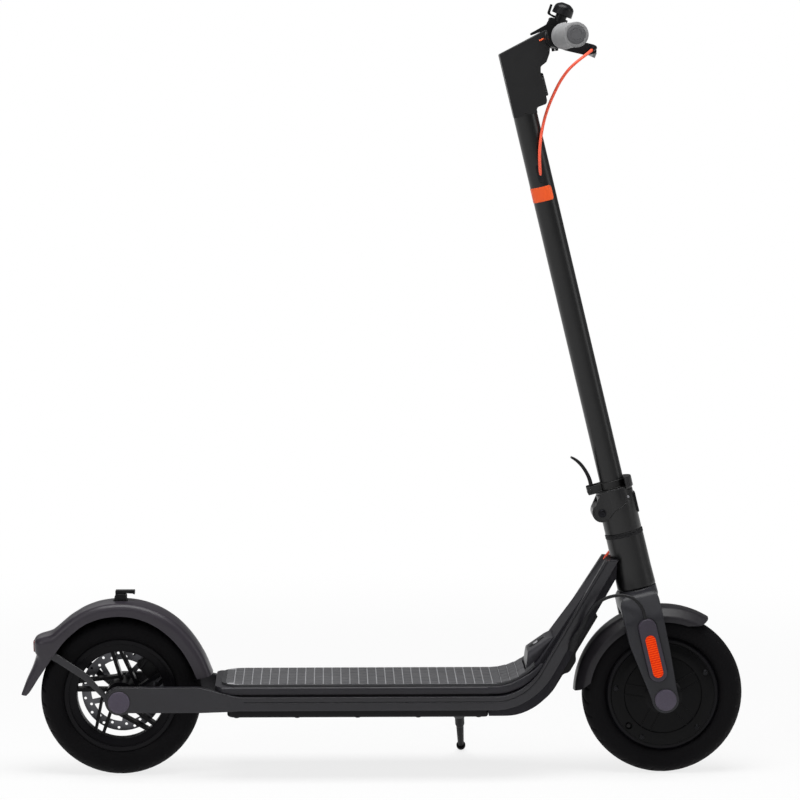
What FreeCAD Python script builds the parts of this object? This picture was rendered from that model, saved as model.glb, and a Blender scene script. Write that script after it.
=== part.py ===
"""Electric kick scooter with a folding mast, a front hub motor and a rear disc brake.

Millimetres. +X points forward, +Y to the rider's left, +Z up. The origin lies on the
ground, under the middle of the scooter's length. The mast and the fork are drawn in a
frame of their own: its origin is the middle of the front axle, +Z runs up the steering
axis and +X forward, square to that axis.
"""
import FreeCAD, Part
import math
import os

from FreeCAD import Placement, Rotation, Vector

os.makedirs("parts", exist_ok=True)

# ------------------------------------------------------------ driving dimensions
WHEELBASE = 858.0          # rear axle to front axle
TYRE_RADIUS = 127.0        # 10 inch tyres
TYRE_WIDTH = 52.0
TREAD_FLAT = 18.0          # width of the flattened middle of the tread
BEAD_RADIUS = 90.0         # where the tyre grips its rim
FLAP_REACH = 159.0         # rear axle to the tip of the mudflap
LEAN = 13.53               # steering axis behind the upright, degrees

DECK_TOP = 151.0           # top of the deck shell
DECK_HALF = 78.0           # half width of the deck's top tray
DECK_REAR = 150.0          # deck shell, from the rear axle
DECK_FRONT = WHEELBASE - 278.0
DECK_BASE = 114.0          # underside of the rails and the shell
COVER_DEPTH = 13.0         # bottom cover below the shell
MAT_THICK = 3.5
MAT_HALF = 75.0
RAIL_OUTER = 85.0          # half width over the rails
RAIL_THICK = 12.0
RAIL_HEIGHT = 21.5
REAR_RAIL_OUTER = 76.0     # half width over the rear arms
REAR_ARM_HALF = 20.0       # half height of the rear arms
REAR_ARM_MIDDLE = 130.0    # height of their middle line above the ground
NECK_HALF = 24.0           # inner half width of the rails at the head tube

NECK_TOP = 343.0           # where the rails and the neck end beside the head tube

HEAD_TUBE_RADIUS = 30.0
HEAD_TUBE_LOW = 174.5      # along the steering axis, from the front axle
HEAD_TUBE_HIGH = 265.5
STEM_RADIUS = 19.0
STEM_LOW = 332.0
STEM_HIGH = 941.0
STEM_WALL = 3.0
HINGE_BACK = 27.5          # fold hinge behind the steering axis
HINGE_HIGH = 305.0         # fold hinge along the steering axis
BAR_HIGH = STEM_HIGH + 107.5       # handlebar along the steering axis
BAR_AHEAD = 67.7           # handlebar ahead of the axis, in the middle
BAR_SWEEP = 5.36           # forward sweep of each half, degrees
BAR_HALF = 240.0           # half length over the grips
BAR_RADIUS = 12.7
GRIP_INNER = 128.0
FORK_INNER = 47.0          # half width between the fork legs
FORK_OUTER = 71.0

# ------------------------------------------------------------------- clearances
SEAT_GAP = 0.3             # between neighbours that only rest or turn past each other
RUN_GAP = 0.05             # radial, shaft in a plain bore
SLIDE_GAP = 0.2            # each side of a small part that slides

# ------------------------------------------------------------ places worked out
REAR_X = -(WHEELBASE + TYRE_RADIUS - FLAP_REACH) / 2
FRONT_X = REAR_X + WHEELBASE
AXLE_Z = TYRE_RADIUS
REAR_AXLE = Vector(REAR_X, 0, AXLE_Z)
FRONT_AXLE = Vector(FRONT_X, 0, AXLE_Z)
AHEAD = Vector(1, 0, 0)
LEFT = Vector(0, 1, 0)
UP = Vector(0, 0, 1)
MAST = Placement(FRONT_AXLE, Rotation(LEFT, -LEAN))
COVER_BASE = DECK_BASE - COVER_DEPTH
RAIL_INNER = RAIL_OUTER - RAIL_THICK
REAR_RAIL_INNER = REAR_RAIL_OUTER - RAIL_THICK
RAIL_TOP = DECK_BASE + RAIL_HEIGHT


# ----------------------------------------------------------------- shape helpers
def rounded_wire(corners, closed=True):
    """Straight runs through (point, radius) corners, each corner a tangent arc."""
    count = len(corners)
    starts = []
    ends = []
    arcs = []
    for i, (point, radius) in enumerate(corners):
        if radius == 0 or (not closed and i in (0, count - 1)):
            starts.append(point)
            ends.append(point)
            arcs.append(None)
            continue
        back = (corners[i - 1][0] - point).normalize()
        onward = (corners[(i + 1) % count][0] - point).normalize()
        half = back.getAngle(onward) / 2
        reach = radius / math.tan(half)
        middle = point + (back + onward).normalize() * (radius / math.sin(half) - radius)
        starts.append(point + back * reach)
        ends.append(point + onward * reach)
        arcs.append(Part.Arc(starts[-1], middle, ends[-1]).toShape())
    edges = []
    for i in range(count):
        if arcs[i]:
            edges.append(arcs[i])
        following = (i + 1) % count
        if following == 0 and not closed:
            break
        if (starts[following] - ends[i]).Length > 1e-6:
            edges.append(Part.LineSegment(ends[i], starts[following]).toShape())
    return Part.Wire(edges)


def corners_of(points, place):
    """(u, v) or (u, v, radius) points as 3-D corners, by a function of u and v."""
    return [(place(p[0], p[1]), p[2] if len(p) > 2 else 0) for p in points]


def side_solid(points, right, left):
    """An outline of (x, z, radius) points, carried across from y = right to left."""
    face = Part.Face(rounded_wire(corners_of(points, lambda x, z: Vector(x, right, z))))
    return face.extrude(LEFT * (left - right))


def plan_solid(points, low, high):
    """An outline of (x, y, radius) points, carried up from z = low to high."""
    face = Part.Face(rounded_wire(corners_of(points, lambda x, y: Vector(x, y, low))))
    return face.extrude(UP * (high - low))


def section_solid(points, back, front):
    """An outline of (y, z, radius) points, carried forward from x = back to front."""
    face = Part.Face(rounded_wire(corners_of(points, lambda y, z: Vector(back, y, z))))
    return face.extrude(AHEAD * (front - back))


def lathe(points, turn=360.0):
    """An outline of (radius, height, corner radius) points turned about +Z."""
    face = Part.Face(rounded_wire(corners_of(points, lambda r, h: Vector(r, 0, h))))
    return face.revolve(Vector(), UP, turn)


def rod(start, direction, radius, length):
    return Part.makeCylinder(radius, length, start, direction)


def tube(start, direction, outer, inner, length):
    return rod(start, direction, outer, length).cut(rod(start, direction, inner, length))


def block(x, y, z):
    """A box from (low, high) pairs."""
    return Part.makeBox(x[1] - x[0], y[1] - y[0], z[1] - z[0], Vector(x[0], y[0], z[0]))


def hexagon(start, direction, across, height, hole=0.0):
    """A hexagonal nut or bolt head, `across` its flats."""
    reach = across / 2 / math.cos(math.radians(30))
    corners = [
        (reach * math.cos(math.radians(60 * i)), reach * math.sin(math.radians(60 * i)))
        for i in range(6)
    ]
    nut = plan_solid(corners, 0, height)
    if hole:
        nut = nut.cut(rod(Vector(), UP, hole, height))
    return placed(nut, start, direction)


def placed(shape, start, direction=UP):
    """A shape drawn about +Z, moved so that its +Z runs along a direction."""
    moved = shape.copy()
    moved.Placement = Placement(start, Rotation(UP, direction)).multiply(shape.Placement)
    return moved


def on_mast(shape):
    moved = shape.copy()
    moved.Placement = MAST.multiply(shape.Placement)
    return moved


def mirrored(shape):
    """The same piece on the other side of the scooter."""
    return shape.mirror(Vector(), LEFT)


def turned(shape, centre, axis, degrees):
    moved = shape.copy()
    moved.rotate(centre, axis, degrees)
    return moved


def around(shape, count, axis=UP, first=0.0):
    """Copies of a shape spaced evenly round an axis through the origin."""
    return [turned(shape, Vector(), axis, first + 360.0 / count * i) for i in range(count)]


def joined(shapes):
    whole = shapes[0].multiFuse(shapes[1:]) if len(shapes) > 1 else shapes[0]
    return whole.removeSplitter()


def save(name, *shapes):
    """Write one sub-part: one solid, or a group of separate ones."""
    solids = [solid for shape in shapes for solid in shape.Solids]
    shape = solids[0] if len(solids) == 1 else Part.makeCompound(solids)
    if not shape.isValid() or not solids:
        print("INVALID", name)
    shape.exportStep(f"parts/{name}.step")


def cable(points, radius):
    """A round cable along hand-laid points, with arcs as large as its runs allow."""
    corners = [(points[0], 0)]
    radii = []
    for before, point, after in zip(points, points[1:], points[2:]):
        back = before - point
        onward = after - point
        turn = math.pi - back.getAngle(onward)
        bend = 0.45 * min(back.Length, onward.Length) / math.tan(turn / 2)
        radii.append(bend)
        corners.append((point, bend))
    corners.append((points[-1], 0))
    path = rounded_wire(corners, closed=False)
    start = Part.Circle(points[0], points[1] - points[0], radius).toShape()
    solid = path.makePipeShell([Part.Wire(start)], True, False)
    volume = math.pi * radius ** 2 * path.Length
    print("cable radii", [round(r, 1) for r in radii], "length", round(path.Length, 1))
    print("  volume over section x length", round(solid.Volume / volume, 4))
    return solid


def rear_x(x):
    """A place measured forward from the rear axle."""
    return REAR_X + x


def rear_side(points):
    """Side-view points measured forward from the rear axle and up from the ground."""
    return [(rear_x(p[0]), *p[1:]) for p in points]


# ------------------------------------------------------------------------ wheels
def tyre():
    """An open section with beads, walls and a tread, turned about the axle."""
    half = TYRE_WIDTH / 2
    wall = 5.0
    outer = [
        (BEAD_RADIUS, half - 8, 1.5),
        (BEAD_RADIUS + 6, half - 2.5, 3),
        (BEAD_RADIUS + 17, half, 12),
        (TYRE_RADIUS - 8, half - 3, 8),
        (TYRE_RADIUS, TREAD_FLAT / 2, 6),
    ]
    inner = [
        (TYRE_RADIUS - wall - 2, TREAD_FLAT / 2, 8),
        (BEAD_RADIUS + 15, half - wall, 10),
        (BEAD_RADIUS + 6, half - wall - 4, 3),
        (BEAD_RADIUS, half - wall - 7, 1),
    ]
    # One closed C: out along one wall, over the tread, back down the other, then inside.
    points = [(r, -h, c) for r, h, c in outer] + [(r, h, c) for r, h, c in reversed(outer)]
    points += [(r, h, c) for r, h, c in reversed(inner)]
    points += [(r, -h, c) for r, h, c in inner]
    return lathe(points)


def on_wheel(shape, axle):
    return placed(shape, axle, LEFT)


RIM_HALF = 17.5
RIM_LIP = BEAD_RADIUS - SEAT_GAP
RIM_STEP = 82.0            # inner edge of the rim's lip
RIM_OPENING = 70.0
HUB_RADIUS = 24.0
HUB_HALF = 30.0
BEARING_OUTER = 14.0
BEARING_INNER = 6.0
BEARING_WIDTH = 8.0
SPOKES = 5
SPOKE_TURN = 35.4          # a spoke's direction, up from straight ahead
SPOKE_OFFSET = 7.5         # how far its middle line passes beside the axle
SPOKE_WIDTH = 5.4
BRACE_WIDTH = 4.8
BRACE_RIM = 19.5           # a brace's end on the rim, up from straight ahead
BRACE_FOOT = (29.0, -51.5)  # its radius and angle on the spoke before


def wheel_point(radius, degrees):
    """A point of a wheel drawn about +Z, by its angle up from straight ahead."""
    turn = math.radians(-degrees)
    return Vector(radius * math.cos(turn), radius * math.sin(turn), 0)


def wheel_bar(start, end, width):
    """A flat bar between two points of the wheel, a little deeper at its start."""
    run = end - start
    half = RIM_HALF - 6.5
    bar = side_solid([(0, -half), (run.Length, 2 - half), (run.Length, half - 2), (0, half)],
                     -width / 2, width / 2)
    aim = math.degrees(math.atan2(run.y, run.x))
    return turned(bar, Vector(), UP, aim).translated(start)


def rear_rim():
    """Cast rim: a stepped channel, five spokes with a leaning brace each, a bored hub."""
    channel = lathe([
        (RIM_OPENING, -RIM_HALF + 5, 1), (RIM_STEP, -RIM_HALF + 3, 0),
        (RIM_STEP, -RIM_HALF, 0.8), (RIM_LIP, -RIM_HALF, 1),
        (RIM_LIP, -RIM_HALF + 3, 0), (RIM_LIP - 6, -RIM_HALF + 8, 2),
        (RIM_LIP - 6, RIM_HALF - 8, 2), (RIM_LIP, RIM_HALF - 3, 0),
        (RIM_LIP, RIM_HALF, 1), (RIM_STEP, RIM_HALF, 0.8),
        (RIM_STEP, RIM_HALF - 3, 0), (RIM_OPENING, RIM_HALF - 5, 1),
    ])
    hub = rod(UP * -HUB_HALF, UP, HUB_RADIUS, 2 * HUB_HALF)
    rim_end = RIM_OPENING + 3
    spoke = wheel_bar(AHEAD * rim_end, AHEAD * (HUB_RADIUS - 6), SPOKE_WIDTH)
    spokes = around(spoke.translated(LEFT * SPOKE_OFFSET), SPOKES, first=-SPOKE_TURN)
    brace = wheel_bar(wheel_point(rim_end, BRACE_RIM), wheel_point(*BRACE_FOOT), BRACE_WIDTH)
    body = joined([channel, hub] + spokes + around(brace, SPOKES))
    seat = BEARING_WIDTH + SEAT_GAP
    body = body.cut(rod(UP * -HUB_HALF, UP, BEARING_OUTER + RUN_GAP, seat))
    body = body.cut(rod(UP * (HUB_HALF - seat), UP, BEARING_OUTER + RUN_GAP, seat))
    body = body.cut(rod(UP * -HUB_HALF, UP, BEARING_INNER + 4, 2 * HUB_HALF))
    holes = around(rod(Vector(DISC_SCREW_CIRCLE, 0, HUB_HALF - 9), UP, 2.5, 12), SPOKES)
    for hole in holes:
        body = body.cut(hole)
    return body


def bearing(radius, bore, width):
    """A sealed ball bearing as one ring with its seal grooves."""
    land = (radius - bore) * 0.3
    return lathe([
        (bore, 0), (bore + land, 0), (bore + land, 0.6), (radius - land, 0.6),
        (radius - land, 0), (radius, 0, 0.6), (radius, width, 0.6), (radius - land, width),
        (radius - land, width - 0.6), (bore + land, width - 0.6), (bore + land, width),
        (bore, width),
    ])


DISC_Z = HUB_HALF + SEAT_GAP / 3
DISC_THICK = 2.0
DISC_OUTER = 65.0
DISC_INNER = 50.0
DISC_SCREW_CIRCLE = 19.0


def brake_disc():
    """Drilled friction ring on five slanted arms."""
    ring = tube(Vector(), UP, DISC_OUTER, DISC_INNER, DISC_THICK)
    carrier = tube(Vector(), UP, HUB_RADIUS, 12.0, DISC_THICK)
    arm = plan_solid(
        [(HUB_RADIUS - 3, -5), (DISC_INNER + 2, 10), (DISC_INNER + 2, 19),
         (HUB_RADIUS - 3, 5)], 0, DISC_THICK)
    disc = joined([ring, carrier] + around(arm, 5))
    outer_holes = around(rod(Vector(DISC_OUTER - 4.5, 0, 0), UP, 2.2, DISC_THICK), 15)
    inner_holes = around(rod(Vector(DISC_INNER + 4.5, 0, 0), UP, 2.2, DISC_THICK), 15,
                         first=12)
    screws = around(rod(Vector(DISC_SCREW_CIRCLE, 0, 0), UP, 2.6, DISC_THICK), SPOKES)
    disc = disc.cut(Part.makeCompound(outer_holes + inner_holes + screws))
    return disc.translated(UP * DISC_Z)


# The front wheel is the hub motor: rim and magnet ring in one shell, two covers.
SHELL_OUTER = RIM_LIP
SHELL_BORE = 73.0
SHELL_HALF = 21.0
COVER_RADIUS = 82.0
COVER_SCREW_CIRCLE = 75.5
MAGNET_RADIUS = 72.7
STATOR_RADIUS = 69.0
MOTOR_AXLE = 8.0
MOTOR_BEARING = 16.0


def motor_shell():
    """Rim casting with the magnet bore and a stepped seat for each side cover."""
    profile = [
        (SHELL_BORE, -SHELL_HALF + 6), (COVER_RADIUS + SEAT_GAP, -SHELL_HALF + 6),
        (COVER_RADIUS + SEAT_GAP, -SHELL_HALF + 1), (RIM_LIP - 3, -SHELL_HALF + 1, 1),
        (SHELL_OUTER, -RIM_HALF, 1), (SHELL_OUTER, -RIM_HALF + 3),
        (SHELL_OUTER - 5, -RIM_HALF + 8, 2), (SHELL_OUTER - 5, RIM_HALF - 8, 2),
        (SHELL_OUTER, RIM_HALF - 3), (SHELL_OUTER, RIM_HALF, 1),
        (RIM_LIP - 3, SHELL_HALF - 1, 1), (COVER_RADIUS + SEAT_GAP, SHELL_HALF - 1),
        (COVER_RADIUS + SEAT_GAP, SHELL_HALF - 6), (SHELL_BORE, SHELL_HALF - 6),
    ]
    return lathe(profile)


TWIN_APART = 8.3           # a twin rib's distance from the radial line between the two
COVER_TURN = -28           # angle of the first screw and its ribs about the axle
COVER_PORT_TURN = 137.5    # angle of the tyre valve's port


def motor_cover():
    """Side cover: a flat outer band, a shallow cone with five twin ribs, a bearing boss."""
    back = SHELL_HALF - 6 + SEAT_GAP / 3
    dish = lathe([
        (MOTOR_BEARING + 0.1, back), (COVER_RADIUS, back), (COVER_RADIUS, back + 8, 1.5),
        (COVER_SCREW_CIRCLE - 6, back + 11), (62, back + 11), (60.6, back + 9.4),
        (30, back + 12.5, 4), (26, back + 16, 3), (MOTOR_BEARING + 0.1, back + 18),
    ])
    rib = side_solid([
        (24, back + 4), (61.5, back + 4), (61.5, back + 10.5), (24, back + 14.3),
    ], -1.1, 1.1)
    twins = [rib.translated(LEFT * TWIN_APART), rib.translated(LEFT * -TWIN_APART)]
    ribs = [r for one in twins for r in around(one, 5, first=COVER_TURN)]
    body = joined([dish] + ribs)
    screws = around(rod(Vector(COVER_SCREW_CIRCLE, 0, back), UP, 2.1, 20), 5, first=COVER_TURN)
    port = rod(Vector(COVER_SCREW_CIRCLE - 2, 0, back + 4), UP, 6, 20)
    return body.cut(Part.makeCompound(screws)).cut(turned(port, Vector(), UP, COVER_PORT_TURN))


def motor_magnets():
    """The magnet ring that lines the shell, as one faceted ring."""
    count = 30
    step = 2 * math.pi / count
    corners = [
        ((MAGNET_RADIUS - 3) * math.cos(step * i), (MAGNET_RADIUS - 3) * math.sin(step * i))
        for i in range(count)
    ]
    bore = plan_solid(corners, -12, 12)
    return rod(UP * -12, UP, MAGNET_RADIUS, 24).cut(bore)


def motor_stator():
    """Wound stator on the fixed axle: a spider, a back ring and coil teeth."""
    ring = tube(UP * -11, UP, 52, 44, 22)
    tooth = block((50, 62), (-2.6, 2.6), (-11, 11))
    shoe = block((61, STATOR_RADIUS - 2.4), (-5, 5), (-11, 11))
    arm = block((MOTOR_AXLE + 3, 45), (-5, 5), (-6, 6))
    hub = tube(UP * -14, UP, MOTOR_AXLE + 6, MOTOR_AXLE + RUN_GAP, 28)
    parts = [ring, hub] + around(tooth, 18) + around(shoe, 18) + around(arm, 6)
    return joined(parts)


# ---------------------------------------------------------------- frame and deck
# Side view of the bend from the deck up to the head tube, from the rear axle.
TOP_SLOPE = 55.1
RAIL_SLOPE = 58.6
BASE_SLOPE = 59.4
TOP_CORNER = WHEELBASE - 223.5     # deck top line meets the neck's top line
RAIL_TOP_CORNER = WHEELBASE - 220.5
RAIL_LOW_CORNER = WHEELBASE - 207.5
BASE_CORNER = WHEELBASE - 199.0
RAIL_TURN = WHEELBASE - 246.0      # where the rails begin to draw in
RAIL_END = WHEELBASE - 58.0        # end of their outline from above
TOP_BEND = 90.0
RAIL_TOP_BEND = 86.0
RAIL_LOW_BEND = 110.0
BASE_BEND = 100.0
BEND_RUN = 152.0           # length of the slopes beyond the bend, along X


def rise(corner, level, slope, run, shift=0.0):
    """The far end of a slope that starts at (corner, level)."""
    return (corner + run, level + run * math.tan(math.radians(slope)) + shift)


def rail_outline(inset=0.0, top_inset=0.0):
    """Side view of a side rail: a round-ended rear arm, the deck run and the rise."""
    low = DECK_BASE + inset
    top = RAIL_TOP - top_inset
    arm_top = REAR_ARM_MIDDLE + REAR_ARM_HALF - top_inset
    arm_low = REAR_ARM_MIDDLE - REAR_ARM_HALF + inset
    back = -REAR_ARM_HALF + inset
    arm_round = (arm_top - arm_low) / 2 - 0.1
    return rear_side([
        (back, arm_top, arm_round), (126, arm_top, 40),
        (188, top, 60),
        (RAIL_TOP_CORNER, top, RAIL_TOP_BEND),
        rise(RAIL_TOP_CORNER, top, RAIL_SLOPE, BEND_RUN),
        rise(RAIL_LOW_CORNER, low, BASE_SLOPE, BEND_RUN),
        (RAIL_LOW_CORNER, low, RAIL_LOW_BEND),
        (188, low, 60), (126, arm_low, 40), (back, arm_low, arm_round),
    ])


def rail_plan(outer_inset=0.0, inner_inset=0.0):
    """Plan of the left rail: stepped out from the rear arm, drawn in at the neck."""
    out = outer_inset
    end = NECK_HALF + RAIL_THICK
    return rear_side([
        (-40, REAR_RAIL_OUTER - out), (118, REAR_RAIL_OUTER - out, 60),
        (172, RAIL_OUTER - out, 60), (RAIL_TURN, RAIL_OUTER - out, 120),
        (RAIL_END, end - 9 - out), (RAIL_END, NECK_HALF - 9 + inner_inset),
        (RAIL_TURN, RAIL_INNER + inner_inset, 110), (172, RAIL_INNER + inner_inset, 60),
        (118, REAR_RAIL_INNER + inner_inset, 60), (-40, REAR_RAIL_INNER + inner_inset),
    ])


GROOVE_DROP = 7.0          # groove below the rail's top edge
GROOVE_WIDE = 1.6
GROOVE_DEEP = 1.2
AXLE_SLOT = 6.1
POCKET_RADIUS = 15.0
POCKET_DEEP = 7.0


def head_tube_keepout(gap):
    """The head tube's outside, grown by a gap, in the scooter's frame."""
    return on_mast(rod(UP * (HEAD_TUBE_LOW - 60), UP, HEAD_TUBE_RADIUS + gap, 220))


def above_neck():
    """All that lies higher than the level ends of the rails and the neck."""
    return block((rear_x(DECK_FRONT + 60), rear_x(WHEELBASE + 42)), (-100, 100),
                 (NECK_TOP, NECK_TOP + 100))


def rail_left():
    """Left side rail, cut from its side view and its plan, grooved along its length."""
    side = side_solid(rail_outline(), 0, RAIL_OUTER + 5)
    body = side.common(plan_solid(rail_plan(), 60, 420))
    skin = plan_solid(rail_plan(), 60, 420).cut(
        plan_solid(rail_plan(outer_inset=GROOVE_DEEP, inner_inset=-1), 50, 430))
    groove = side_solid(rail_outline(inset=-3, top_inset=GROOVE_DROP), 0, RAIL_OUTER + 5).cut(
        side_solid(rail_outline(inset=-6, top_inset=GROOVE_DROP + GROOVE_WIDE), 0,
                   RAIL_OUTER + 5))
    ahead_of_arm = block((rear_x(196), rear_x(RAIL_END)), (0, 100), (60, 420))
    body = body.cut(skin.common(groove).common(ahead_of_arm))
    axle = Vector(REAR_X, 0, AXLE_Z)
    body = body.cut(rod(axle, LEFT, AXLE_SLOT, 100))
    pocket_start = axle + LEFT * (REAR_RAIL_OUTER - POCKET_DEEP)
    body = body.cut(rod(pocket_start, LEFT, POCKET_RADIUS, 20))
    return body.cut(head_tube_keepout(SEAT_GAP)).cut(above_neck())


def neck_outline(inset=0.0):
    """Side view of the neck casting, from the deck's front end to the head tube."""
    top = DECK_TOP - inset
    low = DECK_BASE - COVER_DEPTH + 2 + inset
    return rear_side([
        (DECK_FRONT, low), (BASE_CORNER, low, BASE_BEND - 12),
        rise(BASE_CORNER, low, BASE_SLOPE, 124),
        rise(TOP_CORNER, top, TOP_SLOPE, 154),
        (TOP_CORNER, top, TOP_BEND + MAT_THICK), (DECK_FRONT, top),
    ])


def neck_plan(half, end, front=RAIL_END):
    return rear_side([
        (DECK_FRONT, -half), (RAIL_TURN, -half, 110), (front, -end), (front, end),
        (RAIL_TURN, half, 110), (DECK_FRONT, half),
    ])


def neck():
    """Hollow neck between the rails, with a wider upper lip that hides their top."""
    core = side_solid(neck_outline(), -100, 100).common(
        plan_solid(neck_plan(RAIL_INNER - 0.1, NECK_HALF - 9.1), 60, 420))
    lip_low = RAIL_TOP + 2.5
    lip_outline = rear_side([
        (DECK_FRONT, lip_low), (RAIL_TOP_CORNER, lip_low, RAIL_TOP_BEND),
        rise(RAIL_TOP_CORNER, lip_low, RAIL_SLOPE, 128),
        rise(TOP_CORNER, DECK_TOP, TOP_SLOPE, 150),
        (TOP_CORNER, DECK_TOP, TOP_BEND + MAT_THICK), (DECK_FRONT, DECK_TOP),
    ])
    lip = side_solid(lip_outline, -100, 100).common(
        plan_solid(neck_plan(DECK_HALF, NECK_HALF - 3), 60, 420))
    body = joined([core, lip])
    wall = 5.0
    hollow = side_solid(neck_outline(wall), -100, 100).common(
        plan_solid(neck_plan(RAIL_INNER - wall, NECK_HALF - 9 - wall, RAIL_END - 20),
                   60, 420))
    reach = block((rear_x(DECK_FRONT - 5), rear_x(RAIL_END - 48)), (-100, 100), (60, 420))
    body = body.cut(hollow.common(reach))
    first, second = motor_cable_route()[:2]
    way = (second - first).normalize()
    body = body.cut(rod(first - way * 8, way, MOTOR_CABLE + SEAT_GAP, 30))
    body = body.cut(at_port(rod(UP * -18, UP, PORT_RADIUS + SEAT_GAP, 30)))
    return body.cut(head_tube_keepout(SEAT_GAP)).cut(above_neck())


def head_tube():
    """Barrelled head tube with a seat for a bearing at each end."""
    low = HEAD_TUBE_LOW
    high = HEAD_TUBE_HIGH
    seat = HEADSET_WIDTH + SEAT_GAP
    return on_mast(lathe([
        (STEERER_RADIUS + 2, low + seat), (HEADSET_RADIUS + RUN_GAP, low + seat),
        (HEADSET_RADIUS + RUN_GAP, low, 0.5), (HEAD_TUBE_RADIUS + 0.8, low, 1.5),
        (HEAD_TUBE_RADIUS, low + 30, 40), (HEAD_TUBE_RADIUS, high - 30, 40),
        (HEAD_TUBE_RADIUS - 0.3, high, 1.5), (HEADSET_RADIUS + RUN_GAP, high, 0.5),
        (HEADSET_RADIUS + RUN_GAP, high - seat), (STEERER_RADIUS + 2, high - seat),
    ]))


HEADSET_RADIUS = 22.0
HEADSET_WIDTH = 8.0
STEERER_RADIUS = 15.0
MOTOR_CABLE = 2.6


def headset_bearings():
    low = bearing(HEADSET_RADIUS, STEERER_RADIUS + RUN_GAP, HEADSET_WIDTH)
    return [
        on_mast(low.translated(UP * HEAD_TUBE_LOW)),
        on_mast(low.translated(UP * (HEAD_TUBE_HIGH - HEADSET_WIDTH))),
    ]


def deck_shell():
    """Extruded deck: an upper tray with rounded edges over an open battery bay."""
    inner = RAIL_INNER - SEAT_GAP
    wall = 4.0
    section = [
        (-DECK_HALF, RAIL_TOP + 2.5, 1.5), (-DECK_HALF, DECK_TOP, 5),
        (DECK_HALF, DECK_TOP, 5), (DECK_HALF, RAIL_TOP + 2.5, 1.5),
        (inner, RAIL_TOP + 2.5), (inner, DECK_BASE), (inner - wall, DECK_BASE),
        (inner - wall, DECK_TOP - wall, 3), (-inner + wall, DECK_TOP - wall, 3),
        (-inner + wall, DECK_BASE), (-inner, DECK_BASE), (-inner, RAIL_TOP + 2.5),
    ]
    body = section_solid(section, rear_x(DECK_REAR), rear_x(DECK_FRONT - SEAT_GAP / 3))
    outline = rear_side([
        (DECK_REAR, -DECK_HALF - 2, 22), (DECK_FRONT + 5, -DECK_HALF - 2),
        (DECK_FRONT + 5, DECK_HALF + 2), (DECK_REAR, DECK_HALF + 2, 22),
    ])
    body = body.common(plan_solid(outline, DECK_BASE - 1, DECK_TOP + 1)).cut(rail_room())
    return max(body.Solids, key=lambda solid: solid.Volume)


def rail_room():
    """The volume of both rails with a little air round them."""
    side = side_solid(rail_outline(-SEAT_GAP, -SEAT_GAP), 0, RAIL_OUTER + 5)
    left = side.common(plan_solid(rail_plan(-SEAT_GAP, -SEAT_GAP), 60, 420))
    return Part.makeCompound([left, mirrored(left)])


def deck_tail():
    """Casting that closes the deck's rear end and rises under the rear mudguard."""
    inner = REAR_RAIL_INNER - SEAT_GAP
    top = DECK_TOP
    outline = rear_side([
        (136, DECK_BASE + 14, 4), (DECK_REAR + 26, DECK_BASE, 2), (DECK_REAR + 34, DECK_BASE),
        (DECK_REAR + 34, top - 4 - SEAT_GAP), (DECK_REAR - SEAT_GAP, top - 4 - SEAT_GAP),
        (DECK_REAR - SEAT_GAP, top + 6, 3), (136, top + 8, 3),
    ])
    body = side_solid(outline, -inner, inner)
    room = GUARD_OUTER + SEAT_GAP
    body = body.cut(on_wheel(rod(UP * -100, UP, room, 200), REAR_AXLE)).cut(rail_room())
    return max(body.Solids, key=lambda solid: solid.Volume)


def bottom_cover():
    """Shallow tray screwed under the deck, closing the battery bay."""
    half = RAIL_INNER - 1
    outline = rear_side([
        (169, -half, 14), (DECK_FRONT - 1, -half, 6), (DECK_FRONT - 1, half, 6),
        (169, half, 14),
    ])
    top = DECK_BASE - SEAT_GAP / 3
    tray = plan_solid(outline, COVER_BASE, top)
    low_edges = [
        e for e in tray.Edges if e.BoundBox.ZMax < COVER_BASE + 0.1
    ]
    tray = tray.makeFillet(4, low_edges)
    inner = rear_side([
        (177, -half + 8, 8), (DECK_FRONT - 8, -half + 8, 4), (DECK_FRONT - 8, half - 8, 4),
        (177, half - 8, 8),
    ])
    tray = tray.cut(plan_solid(inner, COVER_BASE + 3, DECK_BASE))
    spots = [(rear_x(184 + 95 * i), side * (RAIL_INNER - 5)) for i in range(5) for side in (-1, 1)]
    return tray.cut(Part.makeCompound(
        [rod(Vector(x, y, COVER_BASE), UP, 2.1, COVER_DEPTH) for x, y in spots]))


GUARD_CORNER = (BASE_CORNER + 5.0, COVER_BASE)
GUARD_BEND = 84.0
GUARD_SWELL = 7.0          # how far the guard swells out over the cable's joint


def under_neck(along, out=0.0):
    """A point along the guard's slope from its corner, and square out from it."""
    slope = math.radians(BASE_SLOPE)
    return (GUARD_CORNER[0] + along * math.cos(slope) + out * math.sin(slope),
            GUARD_CORNER[1] + along * math.sin(slope) - out * math.cos(slope))


def neck_cover():
    """Guard under the neck that carries the motor cable, swelling over its joint."""
    half = 27.0
    outline = rear_side([
        (DECK_FRONT + 6, COVER_BASE), (*GUARD_CORNER, GUARD_BEND), (*under_neck(70), 8),
        (*under_neck(76, GUARD_SWELL), 12), (*under_neck(98, GUARD_SWELL), 12),
        (*under_neck(108), 12), under_neck(176), under_neck(182, -12), under_neck(90, -12),
        (BASE_CORNER - 2, COVER_BASE + 20, 40), (DECK_FRONT + 6, COVER_BASE + 20),
    ])
    guard = side_solid(outline, -half, half)
    return guard.cut(side_solid(neck_outline(-SEAT_GAP / 3), -100, 100))


def battery():
    front = DECK_FRONT - 124
    return plan_solid(
        rear_side([(194, -62, 6), (front, -62, 6), (front, 62, 6), (194, 62, 6)]),
        COVER_BASE + 3 + SEAT_GAP, DECK_TOP - 4 - SEAT_GAP)


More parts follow.
